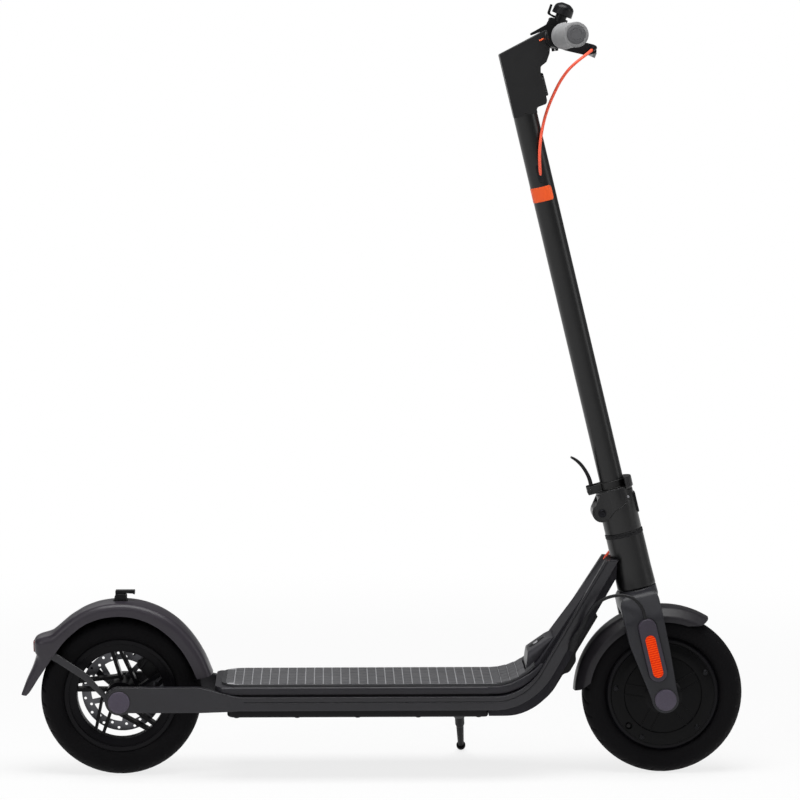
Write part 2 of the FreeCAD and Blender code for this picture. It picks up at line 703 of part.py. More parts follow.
def controller():
    """Motor controller: a finned aluminium case ahead of the battery."""
    low = COVER_BASE + 3 + SEAT_GAP
    back = DECK_FRONT - 116
    front = DECK_FRONT - 16
    case = plan_solid(
        rear_side([(back, -44, 3), (front, -44, 3), (front, 44, 3), (back, 44, 3)]), low, low + 26)
    fins = [
        block((rear_x(back + 4), rear_x(front - 4)), (y - 1, y + 1), (low + 26, low + 32))
        for y in range(-40, 41, 8)
    ]
    return joined([case] + fins)


HUMP_BACK = WHEELBASE - 219.5      # rear face of the charge socket's housing
HUMP_HALF = 40.0
HUMP_ROUND = 16.0          # rounding of its upper side edges
MAT_BEND_FROM = DECK_FRONT + 20.0
MAT_END = DECK_FRONT + 72.0


def mat():
    """Rubber footboard mat that follows the deck and the start of the neck."""
    base = DECK_TOP + SEAT_GAP / 3
    top = DECK_TOP + MAT_THICK
    corner = TOP_CORNER
    shift = MAT_THICK * math.tan(math.radians(TOP_SLOPE / 2))
    side = side_solid(rear_side([
        (160, base), (corner, base, TOP_BEND + MAT_THICK), rise(corner, base, TOP_SLOPE, 60),
        rise(corner - shift, top, TOP_SLOPE, 58), (corner - shift, top, TOP_BEND), (160, top),
    ]), -90, 90)
    outline = rear_side([
        (160, -MAT_HALF, 34), (MAT_BEND_FROM, -MAT_HALF, 60), (MAT_END, -MAT_HALF + 13),
        (MAT_END, MAT_HALF - 13), (MAT_BEND_FROM, MAT_HALF, 60), (160, MAT_HALF, 34),
    ])
    notch = block((rear_x(HUMP_BACK - 1), rear_x(MAT_END + 9)), (-HUMP_HALF - 1, HUMP_HALF + 1),
                  (100, 260))
    return side.common(plan_solid(outline, 100, 260)).cut(notch)


PORT_SLOPE = 35.0
PORT_AT = (HUMP_BACK + 18.0, 207.4)    # middle of the sloping top face, from the rear axle
PORT_RADIUS = 9.5


def port_frame():
    """Placement at the charge port: +Z out of the hump's top face, +X up the slope."""
    spot = Vector(rear_x(PORT_AT[0]), 0, PORT_AT[1])
    return Placement(spot, Rotation(LEFT, -PORT_SLOPE))


def at_port(shape):
    moved = shape.copy()
    moved.Placement = port_frame().multiply(shape.Placement)
    return moved


def charge_housing():
    """Raised housing at the foot of the neck that holds the charge socket."""
    outline = rear_side([
        (HUMP_BACK, 160), (HUMP_BACK + 4.5, 197.5, 6), (HUMP_BACK + 33.5, 217.5, 8),
        (HUMP_BACK + 46.5, 222.5), (HUMP_BACK + 46.5, 205), (HUMP_BACK + 21.5, 160),
    ])
    body = side_solid(outline, -HUMP_HALF, HUMP_HALF)
    plan = rear_side([
        (HUMP_BACK - 8.5, -HUMP_HALF, 14), (HUMP_BACK + 81.5, -HUMP_HALF + 8),
        (HUMP_BACK + 81.5, HUMP_HALF - 8), (HUMP_BACK - 8.5, HUMP_HALF, 14),
    ])
    body = body.common(plan_solid(plan, 100, 300))
    crown = section_solid([
        (-HUMP_HALF, -80), (-HUMP_HALF, 0, HUMP_ROUND), (HUMP_HALF, 0, HUMP_ROUND),
        (HUMP_HALF, -80),
    ], -80, 80)
    body = body.common(at_port(crown))
    body = body.cut(side_solid(neck_outline(-SEAT_GAP / 3), -100, 100))
    seat = at_port(rod(UP * -14, UP, PORT_RADIUS, 30))
    return body.cut(seat).cut(at_port(port_lid_pocket()))


def port_lid_pocket():
    return rod(UP * -3.2, UP, PORT_RADIUS + 3.0, 20).fuse(
        block((PORT_RADIUS - 2, PORT_RADIUS + 6.4), (-5.3, 5.3), (-3.2, 20)))


def charge_socket():
    """Round charge inlet: a cup whose well takes the charger's plug."""
    body = rod(UP * -13.8, UP, PORT_RADIUS - SEAT_GAP / 3, 8.2)
    well = rod(UP * -11.5, UP, PORT_RADIUS - 2.5, 10)
    return at_port(body.cut(well))


PORT_HINGE = (PORT_RADIUS + 4.2, -1.6)     # along the slope, above the face


def charge_cap():
    """Hinged dust cap that lies flush in the housing's round pocket."""
    lid = rod(UP * -3.0, UP, PORT_RADIUS + 3.0 - SEAT_GAP, 3.0)
    rim = [e for e in lid.Edges if e.BoundBox.ZMin > -0.1]
    lid = lid.makeFillet(1.0, rim)
    tongue = block((PORT_RADIUS - 1, PORT_HINGE[0]), (-4.8, 4.8), (-3.0, -0.2))
    knuckle = rod(Vector(PORT_HINGE[0], -4.8, PORT_HINGE[1]), LEFT, 1.5, 9.6)
    plug = tube(UP * -5.2, UP, PORT_RADIUS - 0.6, PORT_RADIUS - 2.2, 2.4)
    return at_port(joined([lid, tongue, knuckle, plug]))


# ------------------------------------------------------------------ rear wheel area
GUARD_OUTER = 151.0
GUARD_THICK = 3.0
GUARD_HALF = 37.0
GUARD_SKIRT = 121.0        # radius of the skirts' lower edge
GUARD_FIRST = 12.0         # angles above straight ahead between which it runs
GUARD_LAST = 148.0


def guard_section(outer, thick, half, skirt):
    """Half-round mudguard section: a crowned top and two skirts, as (radius, width)."""
    inner = outer - thick
    shoulder = 16.0
    return [
        (skirt, -half), (outer - shoulder, -half, 8), (outer - 2, -half + 13, 12),
        (outer, 0, 60), (outer - 2, half - 13, 12), (outer - shoulder, half, 8),
        (skirt, half), (skirt, half - thick), (inner - shoulder + 1, half - thick, 6),
        (inner - 2.5, half - 14, 9), (inner, 0, 60), (inner - 2.5, -half + 14, 9),
        (inner - shoulder + 1, -half + thick, 6), (skirt, -half + thick),
    ]


def guard(axle, first, last, section):
    """A mudguard section turned about an axle between two angles above straight ahead."""
    arc = placed(lathe(section, last - first), axle, LEFT)
    return turned(arc, axle, LEFT, -last)


def rear_guard():
    """Rear mudguard: a long turned shell that runs out into a straight tail."""
    section = guard_section(GUARD_OUTER, GUARD_THICK, GUARD_HALF, GUARD_SKIRT)
    arc = guard(REAR_AXLE, GUARD_FIRST, GUARD_LAST, section)
    hook_pad = block((REAR_X - 12, REAR_X + 12), (-12, 12), (AXLE_Z + GUARD_OUTER - 4,
                                                           AXLE_Z + GUARD_OUTER + 1.2))
    return joined([arc, hook_pad, hook_bracket()])


TAIL_HALF = 24.0


def mudflap():
    """Tail casting under the lamp, drawn out into a thin flap behind the tyre."""
    outline = rear_side([
        (-96, 246, 0), (-120, 224, 12), (-131, 222, 4), (-135.5, 213, 4), (-134.5, 199, 3),
        (-132.5, 191, 3), (-141.5, 172, 60), (-FLAP_REACH, 131, 3), (-150, 129, 3),
        (-139, 143, 40), (-124, 178, 30), (-104, 208),
    ])
    body = side_solid(outline, -GUARD_HALF, GUARD_HALF)
    waist = section_solid([
        (-TAIL_HALF, 110, 0), (-TAIL_HALF, 168, 40), (-GUARD_HALF, 212, 30),
        (-GUARD_HALF, 232, 12), (-16, 262), (16, 262), (GUARD_HALF, 232, 12),
        (GUARD_HALF, 212, 30), (TAIL_HALF, 168, 40), (TAIL_HALF, 110, 0),
    ], rear_x(-180), rear_x(-60))
    body = body.common(waist).cut(guard_keepout())
    body = body.cut(on_wheel(rod(UP * -60, UP, TYRE_RADIUS + 7, 120), REAR_AXLE))
    lamp = tail_lamp(SEAT_GAP / 3)
    return body.cut(lamp)


def guard_keepout():
    """The wedge under the mudguard's outer surface, which the tail casting starts from."""
    wedge = lathe([(0, -60), (GUARD_OUTER + 0.1, -60), (GUARD_OUTER + 0.1, 60), (0, 60)],
                  GUARD_LAST - GUARD_FIRST + 0.1)
    return turned(placed(wedge, REAR_AXLE, LEFT), REAR_AXLE, LEFT, -GUARD_LAST - 0.1)


def tail_lamp(grow=0.0):
    """Rear lamp lens, set in the tail casting's back face."""
    outline = rear_side([
        (-130 + grow, 218.5 + grow, 2), (-134.6 - 4 * grow, 213.5 + grow, 3),
        (-133.8 - 4 * grow, 199.0 - grow, 2), (-128 + grow, 198.0 - grow, 2),
    ])
    return side_solid(outline, -18 - grow, 18 + grow)


STAY_THICK = 3.4
STAY_RING = 23.0           # of the ring round the axle, inside the rear arm
STAY_BORE = 9.5
STAY_TOP_X = -99.0         # where a stay leaves the skirt, from the rear axle
STAY_FOOT_X = -30.0        # where it meets the arm's inner face


def guard_stays():
    """A flat tapered stay on each side, from the axle to inside the mudguard's skirt."""
    bar = side_solid(rear_side([
        (-110.7, 189.2, 2), (-101.7, 198.2, 2), (-51.5, 169.5, 60), (-18, 135),
        (-22, 128.5), (-55, 158, 60),
    ]), 0, REAR_RAIL_OUTER)
    foot = REAR_RAIL_INNER - SEAT_GAP / 3
    top = GUARD_HALF - GUARD_THICK - SEAT_GAP / 3
    slab = plan_solid(rear_side([
        (-120, top), (STAY_TOP_X, top, 12), (STAY_FOOT_X, foot, 12), (40, foot),
        (40, foot - STAY_THICK), (STAY_FOOT_X, foot - STAY_THICK, 12),
        (STAY_TOP_X, top - STAY_THICK, 12), (-120, top - STAY_THICK),
    ]), AXLE_Z - 40, AXLE_Z + 90)
    ring = rod(REAR_AXLE + LEFT * (foot - STAY_THICK), LEFT, STAY_RING, STAY_THICK)
    left = joined([bar.common(slab), ring])
    left = left.cut(rod(REAR_AXLE, LEFT, STAY_BORE, REAR_RAIL_OUTER))
    return [left, mirrored(left)]


HOOK_PIVOT = (0.0, 157.5)  # along X from the rear axle, above it
HOOK_HALF = 7.0


def fender_hook():
    """Sprung catch that holds the folded mast: post, beak and down-turned lip."""
    x, z = HOOK_PIVOT
    outline = rear_side([
        (x - 2.5, AXLE_Z + z - 3, 1.5), (x - 8.3, AXLE_Z + z + 4, 1), (x - 8.3, 293.3, 1),
        (x + 22.5, 293.3, 1), (x + 22.5, 286.5, 0.8), (x + 19.2, 288.5, 0.8),
        (x + 8.0, 289.0, 1.5), (x + 8.0, AXLE_Z + z - 3, 1),
    ])
    post = side_solid(outline, -HOOK_HALF, HOOK_HALF)
    return post.cut(rod(Vector(rear_x(x), -20, AXLE_Z + z), LEFT, 2.0 + RUN_GAP, 40))


def hook_bracket():
    """Ears and pin on the mudguard that carry the catch."""
    x, z = HOOK_PIVOT
    top = AXLE_Z + z
    base = AXLE_Z + GUARD_OUTER + 1.0
    ear = side_solid(rear_side([
        (x - 6, base), (x - 6, top + 3, 4), (x + 6, top + 3, 4), (x + 6, base),
    ]), HOOK_HALF + SEAT_GAP, HOOK_HALF + SEAT_GAP + 3)
    floor = block((rear_x(x - 9), rear_x(x + 9)), (-HOOK_HALF - 3.3, HOOK_HALF + 3.3),
                  (base, base + 1.6))
    pin = rod(Vector(rear_x(x), -HOOK_HALF - 4, top), LEFT, 2.0, 2 * HOOK_HALF + 8)
    return joined([ear, mirrored(ear), floor, pin])


AXLE_RADIUS = 6.0
NUT_ACROSS = 19.0


def rear_axle():
    """Threaded axle with a spacer on each side between hub and rear arm."""
    half = REAR_RAIL_OUTER - POCKET_DEEP + 6.5
    axle = rod(REAR_AXLE - LEFT * half, LEFT, AXLE_RADIUS - RUN_GAP, 2 * half)
    gap = REAR_RAIL_INNER - HUB_HALF
    spacer = tube(REAR_AXLE + LEFT * (HUB_HALF + 0.1), LEFT, 9, AXLE_RADIUS - 0.1,
                  gap - 0.2)
    return joined([axle, spacer, mirrored(spacer)])


def axle_nuts():
    start = REAR_AXLE + LEFT * (REAR_RAIL_OUTER - POCKET_DEEP + 0.1)
    nut = hexagon(start, LEFT, NUT_ACROSS, 6, AXLE_RADIUS + RUN_GAP)
    return [nut, mirrored(nut)]


CAP_RADIUS = 17.0


def axle_cap(start):
    """Press-in cap over an axle nut, drawn about +Z."""
    cap = lathe([
        (0, 0), (CAP_RADIUS, 0), (CAP_RADIUS, 3.2, 1.6), (CAP_RADIUS - 5, 4.0, 4), (0, 4.0),
    ])
    spigot = tube(UP * -4, UP, POCKET_RADIUS - 0.1, POCKET_RADIUS - 2.0, 4.2)
    return placed(joined([cap, spigot]), start, LEFT)


def rear_axle_caps():
    cap = axle_cap(REAR_AXLE + LEFT * (REAR_RAIL_OUTER + 0.1))
    return [cap, mirrored(cap)]


# Brake caliper on the left arm, above and ahead of the axle.
CALIPER_TURN = 40.0        # about the axle, up from straight ahead
CALIPER_RADIUS = 57.0


def on_caliper(shape):
    """Drawn with +X out from the axle and +Z along it, then turned into place."""
    moved = placed(shape, REAR_AXLE, LEFT)
    return turned(moved, REAR_AXLE, LEFT, -CALIPER_TURN)


PAD_GAP = 0.5
DISC_MIDDLE = DISC_Z + DISC_THICK / 2


def brake_caliper():
    """Caliper body that straddles the disc, with its bracket out to the rear arm."""
    low = DISC_MIDDLE - 13
    high = DISC_MIDDLE + 18
    body = plan_solid([
        (CALIPER_RADIUS - 12, -19, 5), (CALIPER_RADIUS + 17, -21, 6),
        (CALIPER_RADIUS + 17, 21, 6), (CALIPER_RADIUS - 12, 19, 5),
    ], low, high)
    slot = block((0, DISC_OUTER + 1.5), (-40, 40),
                 (DISC_Z - PAD_GAP - 0.8, DISC_Z + DISC_THICK + PAD_GAP + 0.8))
    pad_well = block((CALIPER_RADIUS - 9, CALIPER_RADIUS + 7.4), (-11.4, 11.4),
                     (DISC_Z - PAD_GAP - 4.6, DISC_Z + DISC_THICK + PAD_GAP + 4.6))
    shaft_hole = rod(Vector(CALIPER_RADIUS, 0, DISC_Z + DISC_THICK), UP, 5 + RUN_GAP, 30)
    body = body.cut(slot).cut(pad_well).cut(shaft_hole)
    foot = plan_solid([
        (CALIPER_RADIUS - 10, -32, 3), (CALIPER_RADIUS - 2, -32, 3),
        (CALIPER_RADIUS - 2, -17, 0), (CALIPER_RADIUS - 10, -17, 0),
    ], DISC_MIDDLE + 6, REAR_RAIL_INNER - SEAT_GAP / 3)
    return on_caliper(joined([body, foot]))


def brake_pads():
    """Two pads, each a friction block on its steel back plate."""
    pads = []
    for base, way in ((DISC_Z + DISC_THICK + PAD_GAP, 1), (DISC_Z - PAD_GAP, -1)):
        lining = block((CALIPER_RADIUS - 8, CALIPER_RADIUS + 6.5), (-10, 10),
                       tuple(sorted((base, base + way * 3))))
        plate = block((CALIPER_RADIUS - 8.7, CALIPER_RADIUS + 7.2), (-11, 11),
                      tuple(sorted((base + way * 3, base + way * 4.3))))
        pads.append(on_caliper(joined([lining, plate])))
    return pads


ARM_REACH = 34.0


def caliper_arm():
    """Lever on the caliper's shaft that the brake cable pulls."""
    top = DISC_MIDDLE + 18 + SEAT_GAP
    shaft = rod(Vector(CALIPER_RADIUS, 0, DISC_Z + DISC_THICK + 4.9), UP, 5, top + 5 - DISC_Z
                - DISC_THICK - 4.9)
    lever = plan_solid([
        (CALIPER_RADIUS - 8, -8, 7), (CALIPER_RADIUS + 8, -8, 7),
        (CALIPER_RADIUS + 5, ARM_REACH + 5, 4.5), (CALIPER_RADIUS - 5, ARM_REACH + 5, 4.5),
    ], top, top + 4)
    hole = rod(Vector(CALIPER_RADIUS, ARM_REACH, top), UP, 2.4, 5)
    return on_caliper(joined([shaft, lever]).cut(hole))


# --------------------------------------------------------------------- kickstand
KICK_PIVOT = Vector(REAR_X + 538.0, 61.0, 88.5)
KICK_TILT = 36.5           # pivot pin's tilt outward from upright, degrees
KICK_SWEEP = 3.0           # how far the leg points off square, degrees
FOOT_ROUND = 6.0           # rounding of the leg's ball foot
FOOT_FLAT = 1.4            # radius of the flat at its end
KICK_DROP = math.sin(math.radians(KICK_TILT)) * math.cos(math.radians(KICK_SWEEP))
KICK_REACH = (KICK_PIVOT.z - FOOT_ROUND - FOOT_FLAT * math.sqrt(1 - KICK_DROP ** 2)) / KICK_DROP
KICK_RADIUS = 7.5


def at_kick(shape):
    """Drawn with +Z up the pin and +X down the leg, then set under the deck's left."""
    moved = shape.copy()
    tilt = Placement(KICK_PIVOT, Rotation(AHEAD, -KICK_TILT))
    spin = Placement(Vector(), Rotation(UP, 90 - KICK_SWEEP))
    moved.Placement = tilt.multiply(spin).multiply(shape.Placement)
    return moved


def kick_bracket():
    """Plate under the deck with a forked knuckle for the leg's pin."""
    plate = block((KICK_PIVOT.x - 24, KICK_PIVOT.x + 24), (40, 70),
                  (COVER_BASE - 3.1, COVER_BASE - SEAT_GAP / 3))
    upper = rod(UP * (KICK_RADIUS + 1.2), UP, 9, 4)
    lower = rod(UP * (-KICK_RADIUS - 5.2), UP, 9, 4)
    web = block((-12, -8.5), (-9, 9), (-KICK_RADIUS - 5.2, KICK_RADIUS + 5.2))
    cheek_up = block((-12, 0), (-9, 9), (KICK_RADIUS + 1.2, KICK_RADIUS + 5.2))
    cheek_low = block((-12, 0), (-9, 9), (-KICK_RADIUS - 5.2, -KICK_RADIUS - 1.2))
    knuckle = at_kick(joined([upper, lower, web, cheek_up, cheek_low]))
    knuckle = knuckle.cut(block((-999, 999), (0, 99), (COVER_BASE - SEAT_GAP / 3, 200)))
    post = block((KICK_PIVOT.x - 9, KICK_PIVOT.x + 9), (44, 56), (84, COVER_BASE - 3))
    clear = at_kick(lathe([(0, -KICK_RADIUS - 1.2), (11.5, -KICK_RADIUS - 1.2),
                           (11.5, KICK_RADIUS + 1.2), (0, KICK_RADIUS + 1.2)]))
    body = joined([plate, knuckle, post.cut(clear)])
    return body.cut(at_kick(rod(UP * -30, UP, 3 + RUN_GAP, 60))).cut(clear)


def kick_pin():
    pin = lathe([
        (0, -KICK_RADIUS - 7), (4.6, -KICK_RADIUS - 7, 0.5), (4.6, -KICK_RADIUS - 5.4),
        (3, -KICK_RADIUS - 5.4), (3, KICK_RADIUS + 5.0), (0, KICK_RADIUS + 5.0),
    ])
    return at_kick(pin)


def kick_leg():
    """Tapered leg with a stepped root and a ball foot on the ground."""
    foot = FOOT_FLAT + FOOT_ROUND
    leg = lathe([
        (0, 8), (KICK_RADIUS, 8), (KICK_RADIUS, 52, 1), (KICK_RADIUS - 1.4, 56, 1),
        (KICK_RADIUS - 2.6, KICK_REACH - 5), (foot, KICK_REACH - 5, 2),
        (foot, KICK_REACH + FOOT_ROUND, FOOT_ROUND), (0, KICK_REACH + FOOT_ROUND),
    ])
    leg = placed(leg, Vector(), AHEAD)
    half = KICK_RADIUS + 0.7
    eye = rod(UP * -half, UP, 9.5, 2 * half)
    body = joined([leg, eye])
    return at_kick(body.cut(rod(UP * -30, UP, 3 + RUN_GAP, 60)))


# --------------------------------------------------------------- fork and fold base
CROWN_LOW = 144.5
CROWN_HIGH = 173.5
CROWN_RADIUS = 30.5
LEG_LOW_HALF = 21.0
LEG_HIGH_BACK = -35.0
LEG_HIGH_FRONT = 25.0


def fork():
    """Fork: round crown, shouldered legs and the steerer up through the head tube."""
    blade = side_solid([
        (LEG_HIGH_BACK, CROWN_HIGH - 2, 18), (LEG_HIGH_FRONT + 3, CROWN_HIGH - 2, 14),
        (LEG_HIGH_FRONT, 78, 60), (LEG_LOW_HALF, 12, 12), (LEG_LOW_HALF, -LEG_LOW_HALF, 20.9),
        (-LEG_LOW_HALF, -LEG_LOW_HALF, 20.9), (-LEG_LOW_HALF, 6, 30), (LEG_HIGH_BACK, 96, 80),
    ], -FORK_OUTER, FORK_OUTER)
    half = [
        (FORK_INNER, -40, 0), (FORK_OUTER, -40, 0), (FORK_OUTER, 132, 34),
        (FORK_OUTER - 22, CROWN_HIGH - 3, 16), (26, CROWN_HIGH, 0),
    ]
    inner = [(FORK_INNER - 5, CROWN_LOW, 9), (FORK_INNER, CROWN_LOW - 22, 12)]
    arch = section_solid(
        [(y, z, r) for y, z, r in half] + [(-y, z, r) for y, z, r in reversed(half)]
        + [(-y, z, r) for y, z, r in reversed(inner)] + [(y, z, r) for y, z, r in inner],
        -60, 60)
    legs = blade.common(arch)
    crown = lathe([
        (0, CROWN_LOW), (CROWN_RADIUS - 3, CROWN_LOW, 0), (CROWN_RADIUS + 0.6, CROWN_LOW + 14, 20),
        (CROWN_RADIUS, CROWN_HIGH, 1.2), (0, CROWN_HIGH),
    ])
    steerer = rod(UP * (CROWN_HIGH - 1), UP, STEERER_RADIUS,
                  HEAD_TUBE_HIGH + 0.8 - CROWN_HIGH + 1)
    body = joined([legs, crown, steerer])
    body = body.cut(rod(UP * (CROWN_LOW - 5), UP, STEERER_RADIUS - 3.5, 200))
    body = body.cut(rod(LEFT * -100, LEFT, MOTOR_AXLE - 2 + RUN_GAP, 200))
    for start in (FORK_OUTER - POCKET_DEEP, POCKET_DEEP - FORK_OUTER - 20):
        body = body.cut(rod(LEFT * start, LEFT, POCKET_RADIUS, 20))
    for side in (1, -1):
        recess = fork_stadium(COVER_HALF_WIDE + 0.2, COVER_FROM - 0.2, COVER_TO + 0.2,
                              (FORK_OUTER - 1.0) * side, (FORK_OUTER + 6) * side)
        body = body.cut(recess)
    return on_mast(body)


COVER_HALF_WIDE = 14.2
COVER_PROUD = 7.6          # how far the covers stand out from the legs
COVER_FROM = 31.6
COVER_TO = 133.0
COVER_SHIFT = -2.0
REFLECTOR_HALF = 8.0
REFLECTOR_FROM = 38.5
REFLECTOR_TO = 107.0


def fork_stadium(half, low, high, inner, outer):
    """A slot-shaped pad standing along the leg, between two distances from the middle."""
    near, far = sorted((inner, outer))
    points = [
        (COVER_SHIFT - half, low, half - 0.05), (COVER_SHIFT + half, low, half - 0.05),
        (COVER_SHIFT + half, high, half - 0.05), (COVER_SHIFT - half, high, half - 0.05),
    ]
    return side_solid(points, near, far)


def fork_covers():
    """Slot-shaped covers on the legs, each with a recess for its reflector."""
    covers = []
    for side in (1, -1):
        pad = fork_stadium(COVER_HALF_WIDE, COVER_FROM, COVER_TO, (FORK_OUTER - 0.9) * side,
                           (FORK_OUTER + COVER_PROUD) * side)
        face = FORK_OUTER + COVER_PROUD - 0.1
        rim = [e for e in pad.Edges if min(abs(e.BoundBox.YMin), abs(e.BoundBox.YMax)) > face]
        pad = pad.makeFillet(2.5, rim)
        hole = fork_stadium(REFLECTOR_HALF + 0.2, REFLECTOR_FROM - 0.2, REFLECTOR_TO + 0.2,
                            (FORK_OUTER + COVER_PROUD - 2.2) * side,
                            (FORK_OUTER + COVER_PROUD + 5) * side)
        covers.append(on_mast(pad.cut(hole)))
    return covers


def fork_reflectors():
    plates = []
    for side in (1, -1):
        plate = fork_stadium(REFLECTOR_HALF, REFLECTOR_FROM, REFLECTOR_TO,
                             (FORK_OUTER + COVER_PROUD - 2.1) * side,
                             (FORK_OUTER + COVER_PROUD + 0.6) * side)
        plates.append(on_mast(plate))
    return plates


def front_axle():
    """Motor axle with shoulders inside the legs and flats through the drop-outs."""
    half = FORK_OUTER - POCKET_DEEP + 6.5
    thin = rod(LEFT * -half, LEFT, MOTOR_AXLE - 2, 2 * half)
    thick = rod(LEFT * -(FORK_INNER - 0.1), LEFT, MOTOR_AXLE, 2 * (FORK_INNER - 0.1))
    return on_mast(joined([thin, thick]))


def front_nuts():
    start = LEFT * (FORK_OUTER - POCKET_DEEP + 0.1)
    nut = hexagon(start, LEFT, NUT_ACROSS, 6, MOTOR_AXLE - 2 + RUN_GAP)
    return [on_mast(nut), on_mast(mirrored(nut))]


def front_axle_caps():
    cap = axle_cap(LEFT * (FORK_OUTER + 0.1))
    return [on_mast(cap), on_mast(mirrored(cap))]


FRONT_GUARD_OUTER = 141.5
FRONT_GUARD_HALF = 34.0
FRONT_GUARD_SKIRT = 117.0  # radius of the skirts' lower edge


def front_side(points):
    """Side-view points measured forward and up from the front axle."""
    return [(FRONT_X + p[0], AXLE_Z + p[1], *p[2:]) for p in points]


def front_guard():
    """Front mudguard under the crown, its skirts cut up to a nose and a tail."""
    section = guard_section(FRONT_GUARD_OUTER, 2.8, FRONT_GUARD_HALF, FRONT_GUARD_SKIRT)
    arc = guard(FRONT_AXLE, 57.0, 180.0, section)
    under_nose = side_solid(front_side([
        (10, 60), (10, 110.2), (64, 111, 22), (80, 130), (100, 130), (100, 60),
    ]), -60, 60)
    under_tail = side_solid(front_side([
        (-90, -10), (-90, 36), (-111, 36), (-114, 21, 8), (-131, 8.5, 10), (-150, 3),
        (-150, -10),
    ]), -60, 60)
    arc = arc.cut(under_nose).cut(under_tail)
    foot = FRONT_GUARD_OUTER - 2.5
    boss = on_mast(rod(UP * foot, UP, 17, CROWN_LOW - 0.1 - foot))
    return joined([arc, boss])


BASE_RADIUS = STEM_RADIUS + 10.3
BASE_LOW = HEAD_TUBE_HIGH + 0.8
CHEEK_INNER = 22.0
KNUCKLE_RADIUS = 15.3      # of the base's tongue, between the cheeks
CHEEK_ROUND = 11.3         # of the cheeks round the hinge pin
CHEEK_OUTER = 30.0


def cheek_outline(grow=0.0):
    """Side view of the upper bracket's cheek: the knuckle and its slanting lower edge."""
    g = grow
    back = -HINGE_BACK
    return [
        (BASE_RADIUS + 3 + g, STEM_LOW + 4), (BASE_RADIUS + 3 + g, 322 - g),
        (20, 315.5 - g, 6), (-8, 303 - g, 25), (-19, HINGE_HIGH - CHEEK_ROUND - g, 10 + g),
        (back - CHEEK_ROUND - g, HINGE_HIGH - CHEEK_ROUND - g, CHEEK_ROUND - 0.5 + g),
        (back - CHEEK_ROUND - g, HINGE_HIGH + 9, CHEEK_ROUND), (back + 5 - g, STEM_LOW + 4),
    ]


def fold_base():
    """Lower half of the fold: a round body on the steerer with a waisted hinge tongue."""
    body = lathe([
        (STEERER_RADIUS - 3.5, BASE_LOW), (BASE_RADIUS, BASE_LOW, 1), (BASE_RADIUS, 300, 0),
        (BASE_RADIUS, STEM_LOW - 0.4, 1), (12, STEM_LOW - 0.4), (12, BASE_LOW + 20),
    ])
    knuckle = rod(Vector(-HINGE_BACK, -CHEEK_INNER + SEAT_GAP, HINGE_HIGH), LEFT,
                  KNUCKLE_RADIUS, 2 * (CHEEK_INNER - SEAT_GAP))
    body = joined([body, knuckle])
    for side in (1, -1):
        near, far = sorted((CHEEK_INNER * side, 60 * side))
        body = body.cut(side_solid(cheek_outline(0.5), near, far))
    # Room behind for the upper bracket's back wall as it swings.
    swing = rod(Vector(-HINGE_BACK, -CHEEK_INNER - 1, HINGE_HIGH), LEFT, 3.5 + RUN_GAP,
                2 * CHEEK_INNER + 2)
    body = body.cut(swing)
    return on_mast(body)


SLEEVE_RADIUS = STEM_RADIUS + 2.5  # of the bracket's sleeve round the foot of the stem
SLEEVE_TOP = 350.0


def fold_bracket():
    """Upper half of the fold: a sleeve on the stem with two cheeks to the hinge."""
    bore = STEM_RADIUS + 0.1
    ring = lathe([
        (bore, STEM_LOW + 4), (bore, SLEEVE_TOP, 0.5), (SLEEVE_RADIUS, SLEEVE_TOP, 0.8),
        (SLEEVE_RADIUS, STEM_LOW + 6.5), (BASE_RADIUS, STEM_LOW + 5.5, 1),
        (BASE_RADIUS, STEM_LOW, 0.8), (10, STEM_LOW), (10, STEM_LOW + 4),
    ])
    cheeks = []
    for side in (1, -1):
        near, far = sorted(((CHEEK_INNER + SEAT_GAP) * side, CHEEK_OUTER * side))
        cheek = side_solid(cheek_outline(), near, far)
        cheeks.append(cheek)
    shell = joined([
        rod(UP * 280, UP, BASE_RADIUS, 56),
        block((-HINGE_BACK - CHEEK_ROUND, -10), (-CHEEK_OUTER + 2.5, CHEEK_OUTER - 2.5),
              (280, 336)),
    ])
    cheeks = [c.common(shell) for c in cheeks]
    body = joined([ring] + cheeks)
    body = body.cut(rod(Vector(-HINGE_BACK, -60, HINGE_HIGH), LEFT, 3.5 + RUN_GAP, 120))
    return on_mast(body)


def hinge_pin():
    """Fold hinge pin with a wide low head on each side."""
    half = CHEEK_OUTER - 2.5
    pin = rod(Vector(-HINGE_BACK, -half, HINGE_HIGH), LEFT, 3.5, 2 * half)
    head = rod(Vector(-HINGE_BACK, half + 0.1, HINGE_HIGH), LEFT, 6.5, 1.4)
    tail = rod(Vector(-HINGE_BACK, half - 0.5, HINGE_HIGH), LEFT, 3.5, 1)
    return on_mast(joined([pin, head, mirrored(head), tail, mirrored(tail)]))


LATCH_PIVOT = (-36.5, 342.0)
LATCH_HALF = 8.0
LUG_FROM = 18.5            # how far forward the front lug starts


